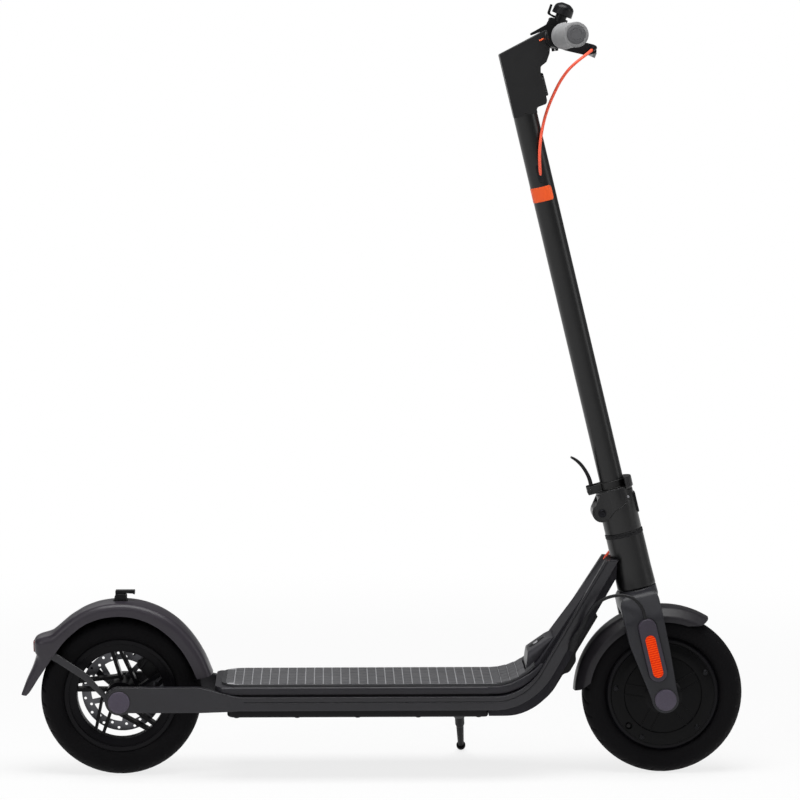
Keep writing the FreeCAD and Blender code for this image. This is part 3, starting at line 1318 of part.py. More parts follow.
def lock_collar():
    """Lug on the front of the sleeve, and the ears behind it for the latch lever's pin."""
    ring = lathe([
        (SLEEVE_RADIUS - 1, STEM_LOW + 3), (SLEEVE_RADIUS - 1, SLEEVE_TOP + 1),
        (SLEEVE_RADIUS + 10, SLEEVE_TOP + 1, 1.5), (SLEEVE_RADIUS + 10, STEM_LOW + 2, 1.5),
        (SLEEVE_RADIUS + 5.5, STEM_LOW + 2), (SLEEVE_RADIUS + 5.5, STEM_LOW + 3),
    ])
    lug = ring.common(block((LUG_FROM, 40), (-40, 40), (STEM_LOW, SLEEVE_TOP + 10)))
    back, high = LATCH_PIVOT
    ear = side_solid([
        (-18.5, STEM_LOW + 4), (back - 5, STEM_LOW + 3.5, 2), (back - 5, 348.5, 2),
        (-18.5, SLEEVE_TOP - 1),
    ], LATCH_HALF + SEAT_GAP, LATCH_HALF + SEAT_GAP + 4)
    ears = [ear, mirrored(ear)]
    body = joined([lug] + ears)
    body = body.cut(rod(Vector(back, -40, high), LEFT, 2.5 + RUN_GAP, 80))
    lever_room = block((back - 8, -26.5), (-LATCH_HALF - SEAT_GAP, LATCH_HALF + SEAT_GAP),
                       (320, 360))
    return on_mast(body.cut(lever_room))


def latch_pin():
    back, high = LATCH_PIVOT
    half = LATCH_HALF + 5.2
    return on_mast(rod(Vector(back, -half, high), LEFT, 2.5, 2 * half))


def latch_lever():
    """Quick-release lever: an eye on the pin and a thin blade that curves away."""
    back, high = LATCH_PIVOT
    half = LATCH_HALF - 1.5
    edges = []
    for points in (
            [(-1.5, 0), (-0.1, 16), (-3.2, 31.5), (-9.0, 44.9), (-18.5, 57.0)],
            [(-16.9, 58.8), (-4.8, 47.3), (2.3, 32.5), (5.9, 16), (4.5, 0)]):
        curve = Part.BSplineCurve()
        curve.interpolate([Vector(back + x, -half, high + z) for x, z in points])
        edges.append(curve)
    rear, front = edges
    tip = Part.LineSegment(rear.EndPoint, front.StartPoint)
    foot = Part.LineSegment(front.EndPoint, rear.StartPoint)
    outline = Part.Wire([edge.toShape() for edge in (rear, tip, front, foot)])
    blade = Part.Face(outline).extrude(LEFT * (2 * half))
    eye = rod(Vector(back, -LATCH_HALF, high), LEFT, 4.8, 2 * LATCH_HALF)
    body = joined([blade, eye])
    return on_mast(body.cut(rod(Vector(back, -40, high), LEFT, 2.5 + RUN_GAP, 80)))


# ------------------------------------------------------------------- stem and head
def stem_tube():
    """Round stem, with the slot for the brake cable in its right wall."""
    body = tube(UP * (STEM_LOW + 4.1), UP, STEM_RADIUS, STEM_RADIUS - STEM_WALL,
                STEM_HIGH - STEM_LOW - 4.1 + 24)
    return on_mast(body.cut(cable_slot()))


CABLE_SLOT_HIGH = 848.0
CABLE_SLOT_HALF = 13.0


def cable_slot():
    """Oval slot in the stem's right wall, where the brake cable goes in."""
    half = BRAKE_CABLE + 0.8
    long = CABLE_SLOT_HALF
    oval = section_solid([
        (-half, CABLE_SLOT_HIGH - long, half - 0.1), (half, CABLE_SLOT_HIGH - long, half - 0.1),
        (half, CABLE_SLOT_HIGH + long, half - 0.1), (-half, CABLE_SLOT_HIGH + long, half - 0.1),
    ], 2, STEM_RADIUS + 2)
    return turned(oval, Vector(), UP, -88)


BRAKE_CABLE = 2.4


HEAD_HALF = 24.0
HEAD_FOOT = STEM_RADIUS - 0.4  # half depth of the head's foot
HEAD_BACK = -HEAD_FOOT
HEAD_REAR_TOP = STEM_HIGH + 101.4
HEAD_FRONT_TOP = STEM_HIGH + 122.6
HEAD_TIP = 64.5            # how far ahead of the axis the top reaches
HEAD_WALL = 2.6


def head_outline(inset=0.0):
    """Side view of the head: sloping top, bar saddle, upright lamp face, foot."""
    low = STEM_HIGH
    return [
        (HEAD_BACK + inset, low + inset, 0), (HEAD_BACK + inset, HEAD_REAR_TOP - inset, 2.5),
        (HEAD_TIP - inset, HEAD_FRONT_TOP - inset, 3), (HEAD_TIP + 1 - inset, low + 109, 0),
        (57.5 - inset, low + 85, 6), (50.0 - inset, low + 73.5, 3), (39.5 - inset, low + 68.5, 5),
        (37.6 - inset, low + 60, 3), (37.4 - inset, low + 15 + inset, 4), (35, low + 10 + inset, 4),
        (HEAD_FOOT - inset, low + 8 + inset, 5), (HEAD_FOOT - inset, low + inset, 0),
    ]


def head_front(half, low_half):
    """Front view of the head: the stem's width at its foot, wider from there up."""
    return [
        (-low_half, STEM_HIGH - 5), (-low_half, STEM_HIGH + 2, 6), (-half, STEM_HIGH + 44, 60),
        (-half, STEM_HIGH + 149), (half, STEM_HIGH + 149), (half, STEM_HIGH + 44, 60),
        (low_half, STEM_HIGH + 2, 6), (low_half, STEM_HIGH - 5),
    ]


def bar_sleeve(radius, half):
    """The part of the head that wraps the bar, square to each half of the bar."""
    halves = []
    for side in (1, -1):
        run = bar_direction(side)
        halves.append(rod(bar_point(0), run, radius, half))
    centre = Part.makeSphere(radius, bar_point(0))
    return joined(halves + [centre])


def bar_direction(side):
    sweep = math.radians(BAR_SWEEP)
    return Vector(math.sin(sweep), side * math.cos(sweep), 0)


def bar_point(along):
    """A point on the bar's middle line; along is measured from the centre, + to left."""
    side = 1 if along >= 0 else -1
    return Vector(BAR_AHEAD, 0, BAR_HIGH) + bar_direction(side) * abs(along)


def head_housing():
    """Hollow head that carries the display, the lamp and the handlebar."""
    body = side_solid(head_outline(), -HEAD_HALF, HEAD_HALF).common(
        section_solid(head_front(HEAD_HALF, STEM_RADIUS), -60, 120))
    sleeve = bar_sleeve(BAR_RADIUS + 3.6, 46)
    body = joined([body, sleeve])
    inside = side_solid(head_outline(HEAD_WALL), -HEAD_HALF + HEAD_WALL,
                        HEAD_HALF - HEAD_WALL).common(
        section_solid(head_front(HEAD_HALF - HEAD_WALL, STEM_RADIUS - HEAD_WALL), -60, 120))
    inside = inside.common(block((-30, 44), (-40, 40), (STEM_HIGH + 29, STEM_HIGH + 95)))
    body = body.cut(inside)
    body = body.cut(bar_sleeve(BAR_RADIUS + RUN_GAP, 60))
    body = body.cut(rod(UP * (STEM_HIGH - 1), UP, STEM_RADIUS + 0.1, 26))
    body = body.cut(display_shape(0.15))
    body = body.cut(lamp_shape(0.15))
    body = body.cut(hook_slot())
    body = body.cut(button_hole())
    return on_mast(body)


TOP_ANGLE = math.degrees(math.atan2(HEAD_FRONT_TOP - HEAD_REAR_TOP, HEAD_TIP - HEAD_BACK))


def on_top(shape):
    """Drawn with +Z out of the head's top face and +X forward up its slope."""
    moved = shape.copy()
    spot = Placement(Vector(HEAD_BACK, 0, HEAD_REAR_TOP), Rotation(LEFT, -TOP_ANGLE))
    moved.Placement = spot.multiply(shape.Placement)
    return moved


DISPLAY_FROM = 27.0
DISPLAY_TO = 68.0
DISPLAY_HALF = 19.0


def display_shape(grow=0.0):
    """Flat lens let into the head's top face, measured along its slope."""
    g = grow
    return on_top(plan_solid([
        (DISPLAY_FROM - g, -DISPLAY_HALF - g, 5), (DISPLAY_TO + g, -DISPLAY_HALF - g, 5),
        (DISPLAY_TO + g, DISPLAY_HALF + g, 5), (DISPLAY_FROM - g, DISPLAY_HALF + g, 5),
    ], -1.6 - g, -0.2 + 3 * g))


BUTTON_AT = 77.0
BUTTON_RADIUS = 5.5


def button_hole():
    return on_top(rod(Vector(BUTTON_AT, 0, -3.6), UP, BUTTON_RADIUS + SLIDE_GAP, 6))


def power_button():
    """Round button above the display, sliding into the head by a couple of millimetres."""
    cap = on_top(lathe([
        (0, -1.6), (BUTTON_RADIUS, -1.6), (BUTTON_RADIUS, 0.8, 0.6), (BUTTON_RADIUS - 2, 0.5, 1),
        (0, 0.5),
    ]).translated(AHEAD * BUTTON_AT))
    return on_mast(cap)


def hook_slot():
    """Slot near the top face's rear edge that the mudguard's catch enters."""
    return on_top(block((3.6, 12.6), (-HOOK_HALF - 2.5, HOOK_HALF + 2.5), (-17, 3)))


def lamp_shape(grow=0.0):
    """Headlamp lens: a tall rounded plate curved about the head's front face."""
    g = grow
    low = STEM_HIGH
    slab = side_solid([
        (34.6 - g, low + 59 + g, 0), (41.2 + g, low + 58 + g, 2), (41.6 + g, low + 22 - g, 2),
        (34.6 - g, low + 22 - g, 0),
    ], -17 - g, 17 + g)
    outline = section_solid([
        (-16 - g, low + 11), (-16 - g, low + 60 + g, 12), (16 + g, low + 60 + g, 12),
        (16 + g, low + 11),
    ], 20, 60)
    return slab.common(outline)


def handlebar():
    """Alloy tube swept forward a little on each side of the middle."""
    outer = bar_sleeve(BAR_RADIUS, BAR_HALF - 4)
    inner = bar_sleeve(BAR_RADIUS - 2.2, BAR_HALF + 4)
    return on_mast(outer.cut(inner))


def along_bar(shape, at, side=1):
    """Drawn about +Z, +X forward; set on the bar with +Z outward along its half."""
    moved = shape.copy()
    spot = bar_point(at)
    moved.Placement = Placement(spot, Rotation(UP, bar_direction(side))).multiply(
        shape.Placement)
    return moved


def grip():
    """Rubber grip with an inner flange and a closed outer end."""
    length = BAR_HALF / math.cos(math.radians(BAR_SWEEP)) - GRIP_INNER
    bore = BAR_RADIUS + 0.15
    return lathe([
        (bore, 0), (20.5, 0, 1.2), (20.5, 4.5, 1.2), (18.0, 8, 2), (17.2, 24, 30),
        (18.8, length * 0.55, 60), (17.6, length - 22, 30), (19.2, length - 9, 3),
        (19.2, length, 3), (0, length), (0, length - 3.5), (bore, length - 3.5),
    ])


def grips():
    left = along_bar(grip(), GRIP_INNER, 1)
    return [on_mast(left), on_mast(mirrored(left))]


def control_clamp(width, thick=5.0):
    """Ring round the bar with a split screw lug below."""
    bore = BAR_RADIUS + RUN_GAP
    ring = tube(UP * (-width / 2), UP, bore + thick, bore, width)
    lug = block((-5, 5), (bore + 1, bore + thick + 5), (-width / 2, width / 2))
    split = block((-0.6, 0.6), (bore - 1, bore + thick + 8), (-width, width))
    return joined([ring, lug]).cut(split)


def throttle_body():
    """Thumb throttle housing: a ring on the right half of the bar with a raised back."""
    bore = BAR_RADIUS + RUN_GAP
    y = bar_point(-82).y
    x = bar_point(-82).x
    ring = rod(Vector(x, y - 12, BAR_HIGH), LEFT, bore + 5.5, 24)
    pod = side_solid([
        (x - 17, BAR_HIGH - 2, 3), (x - 18, BAR_HIGH + 12, 3), (x - 9, BAR_HIGH + 33, 3),
        (x - 2, BAR_HIGH + 30, 6), (x + 6, BAR_HIGH + 10, 3),
    ], y - 12, y + 12)
    body = joined([ring, pod])
    body = body.cut(rod(bar_point(0), bar_direction(-1), bore, 140))
    slot = block((x - 60, x - 3), (y - 6.6, y + 6.6), (BAR_HIGH + 2, BAR_HIGH + 50))
    pivot = rod(Vector(x - 8, y - 30, BAR_HIGH + 21), LEFT, 1.5 + RUN_GAP, 60)
    room = rod(Vector(x - 8, y - 6.6, BAR_HIGH + 21), LEFT, 8.5, 13.2)
    sweep = slot.common(body_window(x)).cut(rod(bar_point(0), bar_direction(-1), bore + 2, 140))
    return on_mast(body.cut(sweep).cut(room).cut(pivot))


def body_window(x):
    """The region behind the bar that the throttle's blade sweeps."""
    return block((x - 60, x - 6), (-200, 0), (BAR_HIGH + 5, BAR_HIGH + 27.5))


def throttle_lever():
    """Thumb blade that swings down on a pin through the throttle housing."""
    y = bar_point(-82).y
    x = bar_point(-82).x
    pivot = (x - 8, BAR_HIGH + 21)
    blade = side_solid([
        (pivot[0] - 2, pivot[1] + 5, 1), (pivot[0] - 10, pivot[1] + 1.5, 14),
        (x - 43, BAR_HIGH + 15.6, 1), (x - 43.5, BAR_HIGH + 12.2, 1),
        (pivot[0] - 12, pivot[1] - 6.0, 14), (pivot[0] - 2, pivot[1] - 5, 1),
    ], y - 6, y + 6)
    hub = rod(Vector(pivot[0], y - 6, pivot[1]), LEFT, 7.6, 12)
    pin = rod(Vector(pivot[0], y - 11.5, pivot[1]), LEFT, 1.5, 23)
    return on_mast(joined([blade, hub, pin]))


PERCH_AT = 80.0
LEVER_AXIS = Vector(0.572, 0, 0.82).normalize()


def brake_perch():
    """Clamp on the left half of the bar and the arm out to the brake lever's pivot."""
    body = along_bar(control_clamp(20), PERCH_AT, 1)
    centre = bar_point(PERCH_AT)
    y = centre.y
    arm = side_solid([
        (centre.x - 6, BAR_HIGH - 12, 2), (centre.x + 8, BAR_HIGH + 8, 3),
        (centre.x + 34, BAR_HIGH - 14, 6), (centre.x + 61, BAR_HIGH - 28, 5),
        (centre.x + 61, BAR_HIGH - 41, 4), (centre.x + 44, BAR_HIGH - 41, 6),
        (centre.x + 14, BAR_HIGH - 26, 6),
    ], y - 14, y + 10)
    mouth = brake_cable_route()[:2]
    out = (mouth[0] - mouth[1]).normalize()
    body = joined([body, arm, rod(mouth[0], out, BRAKE_CABLE + 1.6, 12)])
    room = LEVER_HALF + SLIDE_GAP
    slot = at_lever(block((-16, 40), (-10, 60), (-room, room)))
    pivot = rod(lever_pivot() - LEVER_AXIS * 30, LEVER_AXIS, 2.5 + RUN_GAP, 60)
    body = body.cut(rod(bar_point(0), bar_direction(1), BAR_RADIUS + RUN_GAP, 140))
    return on_mast(body.cut(slot).cut(pivot))


LEVER_HALF = 4.6           # half thickness of the brake lever's blade


def at_lever(shape):
    """Drawn about the lever's pin as +Z, with +Y out along the blade."""
    moved = shape.copy()
    spot = Placement(lever_pivot(), Rotation(UP, LEVER_AXIS))
    moved.Placement = spot.multiply(shape.Placement)
    return moved


def lever_pivot():
    centre = bar_point(PERCH_AT)
    return Vector(centre.x + 43, centre.y, BAR_HIGH - 30)


def brake_lever():
    """Long blade ahead of the left grip, hooked at its tip, turning on the perch."""
    blade = plan_solid([
        (-8, -7, 5), (8, -7, 5), (12, 18, 20), (20, 60, 60), (25, 118, 30), (32, 136, 2.5),
        (25.5, 139, 2.5), (17, 120, 20), (10, 60, 60), (1, 20, 15), (-9, 8, 3),
    ], -LEVER_HALF, LEVER_HALF)
    return on_mast(at_lever(blade.cut(rod(UP * -20, UP, 2.5 + RUN_GAP, 40))))


def lever_pin():
    pivot = lever_pivot()
    pin = rod(pivot - LEVER_AXIS * 9.5, LEVER_AXIS, 2.5, 18)
    return on_mast(pin)


BELL_AT = 80.0
BELL_TILT = 35.0           # of its axis, forward of the mast's direction
BELL_STAND = 36.3          # from the bar's middle line to the dome's rim


def bell_post():
    """Post on the brake perch that holds the bell's dome."""
    centre = bar_point(BELL_AT)
    body = rod(centre, bell_axis(), 9, BELL_STAND - 0.1)
    return on_mast(body.cut(rod(bar_point(0), bar_direction(1), BAR_RADIUS + RUN_GAP, 140)))


def bell_axis():
    tilt = math.radians(BELL_TILT)
    return Vector(math.sin(tilt), 0, math.cos(tilt))


def bell_seat():
    return bar_point(BELL_AT) + bell_axis() * BELL_STAND


def bell_dome():
    """Domed bell shell, open below."""
    dome = lathe([
        (0, 19.5), (7, 19.5, 9), (15.8, 14, 9), (16.6, 0, 0.4), (15.4, 0), (14.4, 13, 8),
        (6.4, 17.9, 8), (0, 17.9),
    ])
    stud = rod(Vector(), UP, 4, 18.5)
    body = joined([dome, stud])
    return on_mast(placed(body, bell_seat(), bell_axis()))


def bell_lever():
    """Thumb lever of the bell: a hub on the base and a prong that stands up behind."""
    seat = bell_seat()
    prong = side_solid([
        (-11, -8.0, 1), (-11, -4.6, 1), (-18.5, -4.4, 3), (-19.5, 10, 1), (-23.0, 10, 1),
        (-22.5, -6.5, 4),
    ], -3.5, 3.5)
    hub = tube(UP * -8.0, UP, 12.5, 9.15, 3.4)
    body = joined([prong, hub])
    return on_mast(placed(body, seat, bell_axis()))


# ---------------------------------------------------------------------- the cables
def mast_points(points):
    return [MAST.multVec(Vector(*p)) for p in points]


def brake_cable_route():
    """Points from the perch's barrel to the inside of the stem, in the mast's frame."""
    return [Vector(*point) for point in [
        (128.3, 58.3, 1014.0), (119.3, 44.3, 1010.2), (103.0, 34.0, 1004.0),
        (84.5, 27.5, 994.5), (67.5, 21.5, 980.5), (52.0, 14.0, 963.0),
        (37.5, 4.5, 944.5), (25.0, -7.0, 924.5), (14.5, -17.2, 902.0),
        (7.5, -22.0, 882.0), (3.0, -22.8, 862.0), (0.8, -18.6, 847.0),
        (0.0, -13.5, 837.5),
    ]]


def brake_cable():
    """Outer cable from the brake perch round the front of the stem and in at its side."""
    return cable([MAST.multVec(point) for point in brake_cable_route()], BRAKE_CABLE)


def motor_cable_route():
    leg = FORK_OUTER + MOTOR_CABLE + 0.4
    return [
        Vector(rear_x(716), -35.0, 214), Vector(rear_x(722), -50.5, 224),
        Vector(rear_x(728), -56.5, 240), Vector(rear_x(735.5), -57.0, 262),
        Vector(rear_x(750), -58.5, 280), Vector(rear_x(768), -60.5, 289.5),
        Vector(rear_x(788), -64.5, 293.5), Vector(rear_x(805.5), -70.5, 290), *mast_points([
            (-2.5, -leg, COVER_TO + 20), (-2.0, -leg, COVER_TO + 0.2)]),
    ]


def motor_cable():
    """Phase cable from the neck's side round to the top of the right fork leg's cover."""
    return cable(motor_cable_route(), MOTOR_CABLE)


# --------------------------------------------------------------------------- build
def build():
    tyre_shape = tyre()
    save("rear_tyre", on_wheel(tyre_shape, REAR_AXLE))
    save("rear_rim", on_wheel(rear_rim(), REAR_AXLE))
    rear_bearing = bearing(BEARING_OUTER, BEARING_INNER, BEARING_WIDTH)
    save("rear_bearings",
         on_wheel(rear_bearing.translated(UP * (HUB_HALF - BEARING_WIDTH)), REAR_AXLE),
         on_wheel(rear_bearing.translated(UP * -HUB_HALF), REAR_AXLE))
    save("brake_disc", on_wheel(brake_disc(), REAR_AXLE))

    save("front_tyre", on_wheel(tyre_shape, FRONT_AXLE))
    save("motor_shell", on_wheel(motor_shell(), FRONT_AXLE))
    cover = on_wheel(motor_cover(), FRONT_AXLE)
    save("motor_covers", cover, mirrored(cover))
    save("motor_magnets", on_wheel(motor_magnets(), FRONT_AXLE))
    save("motor_stator", on_wheel(motor_stator(), FRONT_AXLE))
    motor_bearing = bearing(MOTOR_BEARING, MOTOR_AXLE + RUN_GAP, 9)
    left_bearing = on_wheel(motor_bearing.translated(UP * 17), FRONT_AXLE)
    save("motor_bearings", left_bearing, mirrored(left_bearing))

    left_rail = rail_left()
    save("side_rails", left_rail, mirrored(left_rail))
    save("neck", neck())
    save("head_tube", head_tube())
    save("headset_bearings", *headset_bearings())
    save("deck_shell", joined([deck_shell(), deck_tail()]))
    save("bottom_cover", bottom_cover())
    save("neck_cover", neck_cover())
    save("battery_pack", battery())
    save("motor_controller", controller())
    save("footboard_mat", mat())
    save("charge_housing", charge_housing())
    save("charge_socket", charge_socket())
    save("charge_cap", charge_cap())
    save("rear_mudguard", rear_guard())
    save("mudflap", mudflap())
    save("tail_lamp", tail_lamp())
    save("mudguard_stays", *guard_stays())
    save("fender_hook", fender_hook())
    save("rear_axle", rear_axle(), *axle_nuts())
    save("rear_axle_caps", *rear_axle_caps())
    save("brake_caliper", brake_caliper())
    save("brake_pads", *brake_pads())
    save("caliper_arm", caliper_arm())
    save("kickstand_bracket", joined([kick_bracket(), kick_pin()]))
    save("kickstand_leg", kick_leg())

    save("fork", fork())
    save("fork_covers", *fork_covers())
    save("fork_reflectors", *fork_reflectors())
    save("front_axle", front_axle(), *front_nuts())
    save("front_axle_caps", *front_axle_caps())
    save("front_mudguard", front_guard())
    save("fold_base", fold_base())
    save("hinge_pin", hinge_pin())
    save("fold_bracket", joined([fold_bracket(), lock_collar(), latch_pin()]))
    save("latch_lever", latch_lever())

    save("stem_tube", stem_tube())
    save("head_housing", head_housing())
    save("display_lens", on_mast(display_shape()))
    save("headlamp_lens", on_mast(lamp_shape()))
    save("power_button", power_button())
    save("handlebar", handlebar())
    save("grips", *grips())
    save("throttle_body", throttle_body())
    save("throttle_lever", throttle_lever())
    save("brake_perch", joined([brake_perch(), bell_post(), lever_pin()]))
    save("brake_lever", brake_lever())
    save("bell_dome", bell_dome())
    save("bell_lever", bell_lever())
    save("brake_cable", brake_cable())
    save("motor_cable", motor_cable())


build()
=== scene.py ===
"""Looks of a folding electric kick scooter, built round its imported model.

+X points forward, +Y to the rider's left and +Z up. Sizes in the classes are millimetres;
meshes and lights are in metres. Each sub-assembly is a class that builds its own new
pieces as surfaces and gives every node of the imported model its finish.
"""

import logging
import math
from dataclasses import dataclass
from enum import Enum
from typing import Any, Dict, List, Optional, Sequence, Tuple, Union

import bmesh
import bpy
import numpy as np
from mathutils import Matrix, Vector


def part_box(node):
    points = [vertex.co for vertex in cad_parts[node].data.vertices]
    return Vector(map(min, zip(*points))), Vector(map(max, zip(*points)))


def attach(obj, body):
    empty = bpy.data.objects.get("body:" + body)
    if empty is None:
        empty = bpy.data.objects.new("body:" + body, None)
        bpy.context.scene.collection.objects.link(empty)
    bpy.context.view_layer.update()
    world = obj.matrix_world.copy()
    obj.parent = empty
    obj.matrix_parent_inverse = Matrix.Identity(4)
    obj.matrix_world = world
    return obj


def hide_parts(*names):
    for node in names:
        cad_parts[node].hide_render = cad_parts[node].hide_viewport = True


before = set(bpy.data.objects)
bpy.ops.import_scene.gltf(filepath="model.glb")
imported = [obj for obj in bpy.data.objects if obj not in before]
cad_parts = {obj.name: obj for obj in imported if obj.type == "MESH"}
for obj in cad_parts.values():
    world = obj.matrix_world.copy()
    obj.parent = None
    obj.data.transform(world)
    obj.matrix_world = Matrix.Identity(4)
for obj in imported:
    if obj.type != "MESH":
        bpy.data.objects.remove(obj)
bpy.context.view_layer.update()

LOG = logging.getLogger("scooter")
MM = 0.001
LEAN = math.radians(13.53)          # the steering axis behind the upright
PORT_SLOPE = math.radians(35.0)     # the charge port's face
MERGE = 1e-6                        # corners closer than this, in metres, become one

Array = np.ndarray
Colour = Tuple[float, float, float]
Point = Tuple[float, float, float]
Points = Sequence[Sequence[float]]
ScrewSize = Tuple[float, float, float]                # head's radius and height, half the socket
PadSize = Tuple[float, float, float, float, float]    # half sizes, corner, height, rolled edge
Object = bpy.types.Object


# ------------------------------------------------------------------ places and frames
def tone(hex_code: str) -> Colour:
    """Turn a display colour such as "2a2a2c" into linear light.

    Args:
        hex_code: six hexadecimal digits, two each for red, green and blue.

    Returns:
        The linear red, green and blue: ((c + 0.055) / 1.055) ** 2.4, or c / 12.92 when dark.
    """
    shown = np.array([int(hex_code[i:i + 2], 16) for i in (0, 2, 4)]) / 255.0
    linear = np.where(shown > 0.04045, ((shown + 0.055) / 1.055) ** 2.4, shown / 12.92)
    return tuple(float(c) for c in linear)


def unit(vector: Array) -> Array:
    """Scale vectors to length 1: each one divided by its own length."""
    vector = np.asarray(vector, float)
    return vector / np.maximum(np.linalg.norm(vector, axis=-1, keepdims=True), 1e-12)


def step(values: Array, low: float, high: float) -> Array:
    """Rise smoothly from 0 at low to 1 at high: 3t^2 - 2t^3 of the clamped share t."""
    share = np.clip((np.asarray(values, float) - low) / (high - low), 0.0, 1.0)
    return share * share * (3.0 - 2.0 * share)


@dataclass(frozen=True)
class Frame:
    """A right-handed frame in the scooter's own: an origin in mm and three unit axes."""

    origin: Point
    along: Point = (1.0, 0.0, 0.0)
    across: Point = (0.0, 1.0, 0.0)
    up: Point = (0.0, 0.0, 1.0)

    def place(self, points: Array) -> Array:
        """Carry points in mm to the scooter: origin + x along + y across + z up."""
        axes = np.array([self.along, self.across, self.up], float)
        return np.array(self.origin, float) + np.asarray(points, float) @ axes

    def at(self, x: float, y: float, z: float) -> "Frame":
        """Give the same axes about another point of this frame."""
        return Frame(tuple(self.place(np.array([x, y, z]))), self.along, self.across, self.up)

    def facing(self, direction: Sequence[float], near: Sequence[float] = (1, 0, 0)) -> "Frame":
        """Turn the frame about its origin so that up runs along a direction of its own.

        Args:
            direction: where up goes, in this frame's axes.
            near: the direction that along stays closest to.

        Returns:
            The turned frame.
        """
        axes = np.array([self.along, self.across, self.up], float)
        up = unit(np.array(direction, float) @ axes)
        guide = np.array(near, float) @ axes
        along = unit(guide - (guide @ up) * up)
        across = np.cross(up, along)
        return Frame(self.origin, tuple(along), tuple(across), tuple(up))

    def beside(self, side: "Side", x: float, y: float, z: float) -> "Frame":
        """Give the seat at a distance y on one side, with up facing outwards."""
        return self.at(x, side.value * y, z).facing((0, side.value, 0))


def middle_of(node: str) -> Array:
    """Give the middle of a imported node's box, in mm."""
    low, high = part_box(node)
    return (np.array(low) + np.array(high)) / 2 / MM


WORLD = Frame((0.0, 0.0, 0.0))
REAR_AXLE = Frame(tuple(middle_of("rear_tyre")))
FRONT_AXLE = Frame(tuple(middle_of("front_tyre")))
# Up the steering axis from the front axle, and out of the charge port's sloping face.
MAST = FRONT_AXLE.facing((-math.sin(LEAN), 0.0, math.cos(LEAN)))
PORT = REAR_AXLE.at(656.5, 0.0, 80.4).facing((-math.sin(PORT_SLOPE), 0.0, math.cos(PORT_SLOPE)))


class Side(Enum):
    """The rider's sides, as the sign of Y."""

    LEFT = 1
    RIGHT = -1


# ------------------------------------------------------------------ surfaces
def linked(name: str, data: Any) -> Object:
    """Add an object to the scene.

    Args:
        name: the object's name.
        data: its mesh, curve, lamp or camera.

    Returns:
        The object.
    """
    made = bpy.data.objects.new(name, data)
    bpy.context.scene.collection.objects.link(made)
    return made


def ring_faces(rows: int, columns: int, closed: bool) -> Array:
    """Number the quads of a grid whose columns close on themselves.

    Args:
        rows: rows of the grid.
        columns: columns of the grid.
        closed: True if the last row also joins the first.

    Returns:
        Four point numbers per quad, (r, c), (r, c+1), (r+1, c+1), (r+1, c).
    """
    r, c = np.meshgrid(np.arange(rows if closed else rows - 1), np.arange(columns), indexing="ij")
    here, after = r * columns, (r + 1) % rows * columns
    turn = (c + 1) % columns
    return np.stack([here + c, here + turn, after + turn, after + c], -1).reshape(-1, 4)


def skin(name: str, grids: Sequence[Array], closed: bool = False, sharp: float = 35.0) -> Object:
    """Make one object from grids of points in mm.

    Args:
        name: the piece's name.
        grids: arrays (..., rows, columns, 3); every grid closes along its columns.
        closed: True if the rows close on themselves too.
        sharp: angle in degrees past which an edge shades sharp.

    Returns:
        A smooth-shaded object at the origin whose normals point outwards.
    """
    points: List[Array] = []
    faces: List[Array] = []
    count = 0
    for grid in grids:
        stack = np.asarray(grid, float).reshape(-1, *np.shape(grid)[-3:])
        one = ring_faces(stack.shape[1], stack.shape[2], closed)
        size = stack.shape[1] * stack.shape[2]
        starts = count + size * np.arange(len(stack))
        faces.append((one[None] + starts[:, None, None]).reshape(-1, 4))
        points.append(stack.reshape(-1, 3))
        count += size * len(stack)
    corners = np.concatenate(faces).astype(np.int32)
    mesh = bpy.data.meshes.new(name)
    mesh.vertices.add(count)
    mesh.vertices.foreach_set("co", (np.concatenate(points) * MM).astype(np.float32).ravel())
    mesh.loops.add(corners.size)
    mesh.loops.foreach_set("vertex_index", corners.ravel())
    mesh.polygons.add(len(corners))
    mesh.polygons.foreach_set("loop_start", np.arange(0, corners.size, 4, dtype=np.int32))
    mesh.update(calc_edges=True)
    tidy_mesh(mesh, sharp)
    return linked(name, mesh)


def tidy_mesh(mesh: bpy.types.Mesh, sharp: float) -> None:
    """Merge doubles, turn the faces outwards and shade the mesh smooth.

    Args:
        mesh: the mesh.
        sharp: angle in degrees past which an edge shades sharp.
    """
    work = bmesh.new()
    work.from_mesh(mesh)
    bmesh.ops.remove_doubles(work, verts=work.verts, dist=MERGE)
    bmesh.ops.dissolve_degenerate(work, edges=work.edges, dist=MERGE / 10)
    bmesh.ops.recalc_face_normals(work, faces=work.faces)
    work.to_mesh(mesh)
    work.free()
    mesh.polygons.foreach_set("use_smooth", np.ones(len(mesh.polygons), bool))
    mesh.set_sharp_from_angle(angle=math.radians(sharp))
    mesh.update()


def round_turn(steps: int) -> Array:
    """Give so many even angles round a full turn, from 0."""
    return np.linspace(0, 2 * math.pi, steps, endpoint=False)


def turned(radius: Array, height: Array, angle: Array, place: Frame) -> Array:
    """Set points about a frame's up axis, each at (r cos a, r sin a, h)."""
    points = np.broadcast_arrays(radius * np.cos(angle), radius * np.sin(angle), height)
    return place.place(np.stack(points, -1))


def capped(grid: Array) -> Array:
    """Close both ends of a grid with a pole at the middle of its end row."""
    poles = np.repeat(grid[[0, -1]].mean(1)[:, None], grid.shape[1], 1)
    return np.concatenate([poles[:1], grid, poles[1:]])


def revolved(profile: Points, steps: int, place: Frame) -> Array:
    """Turn a profile of (radius, height) about a frame's up axis.

    Args:
        profile: points from one end to the other; a radius of 0 closes that end.
        steps: how many columns go round.
        place: the frame.

    Returns:
        A grid: (r cos a, r sin a, h) for every profile point and angle a.
    """
    shape = np.asarray(profile, float)
    return turned(shape[:, :1], shape[:, 1:], round_turn(steps), place)


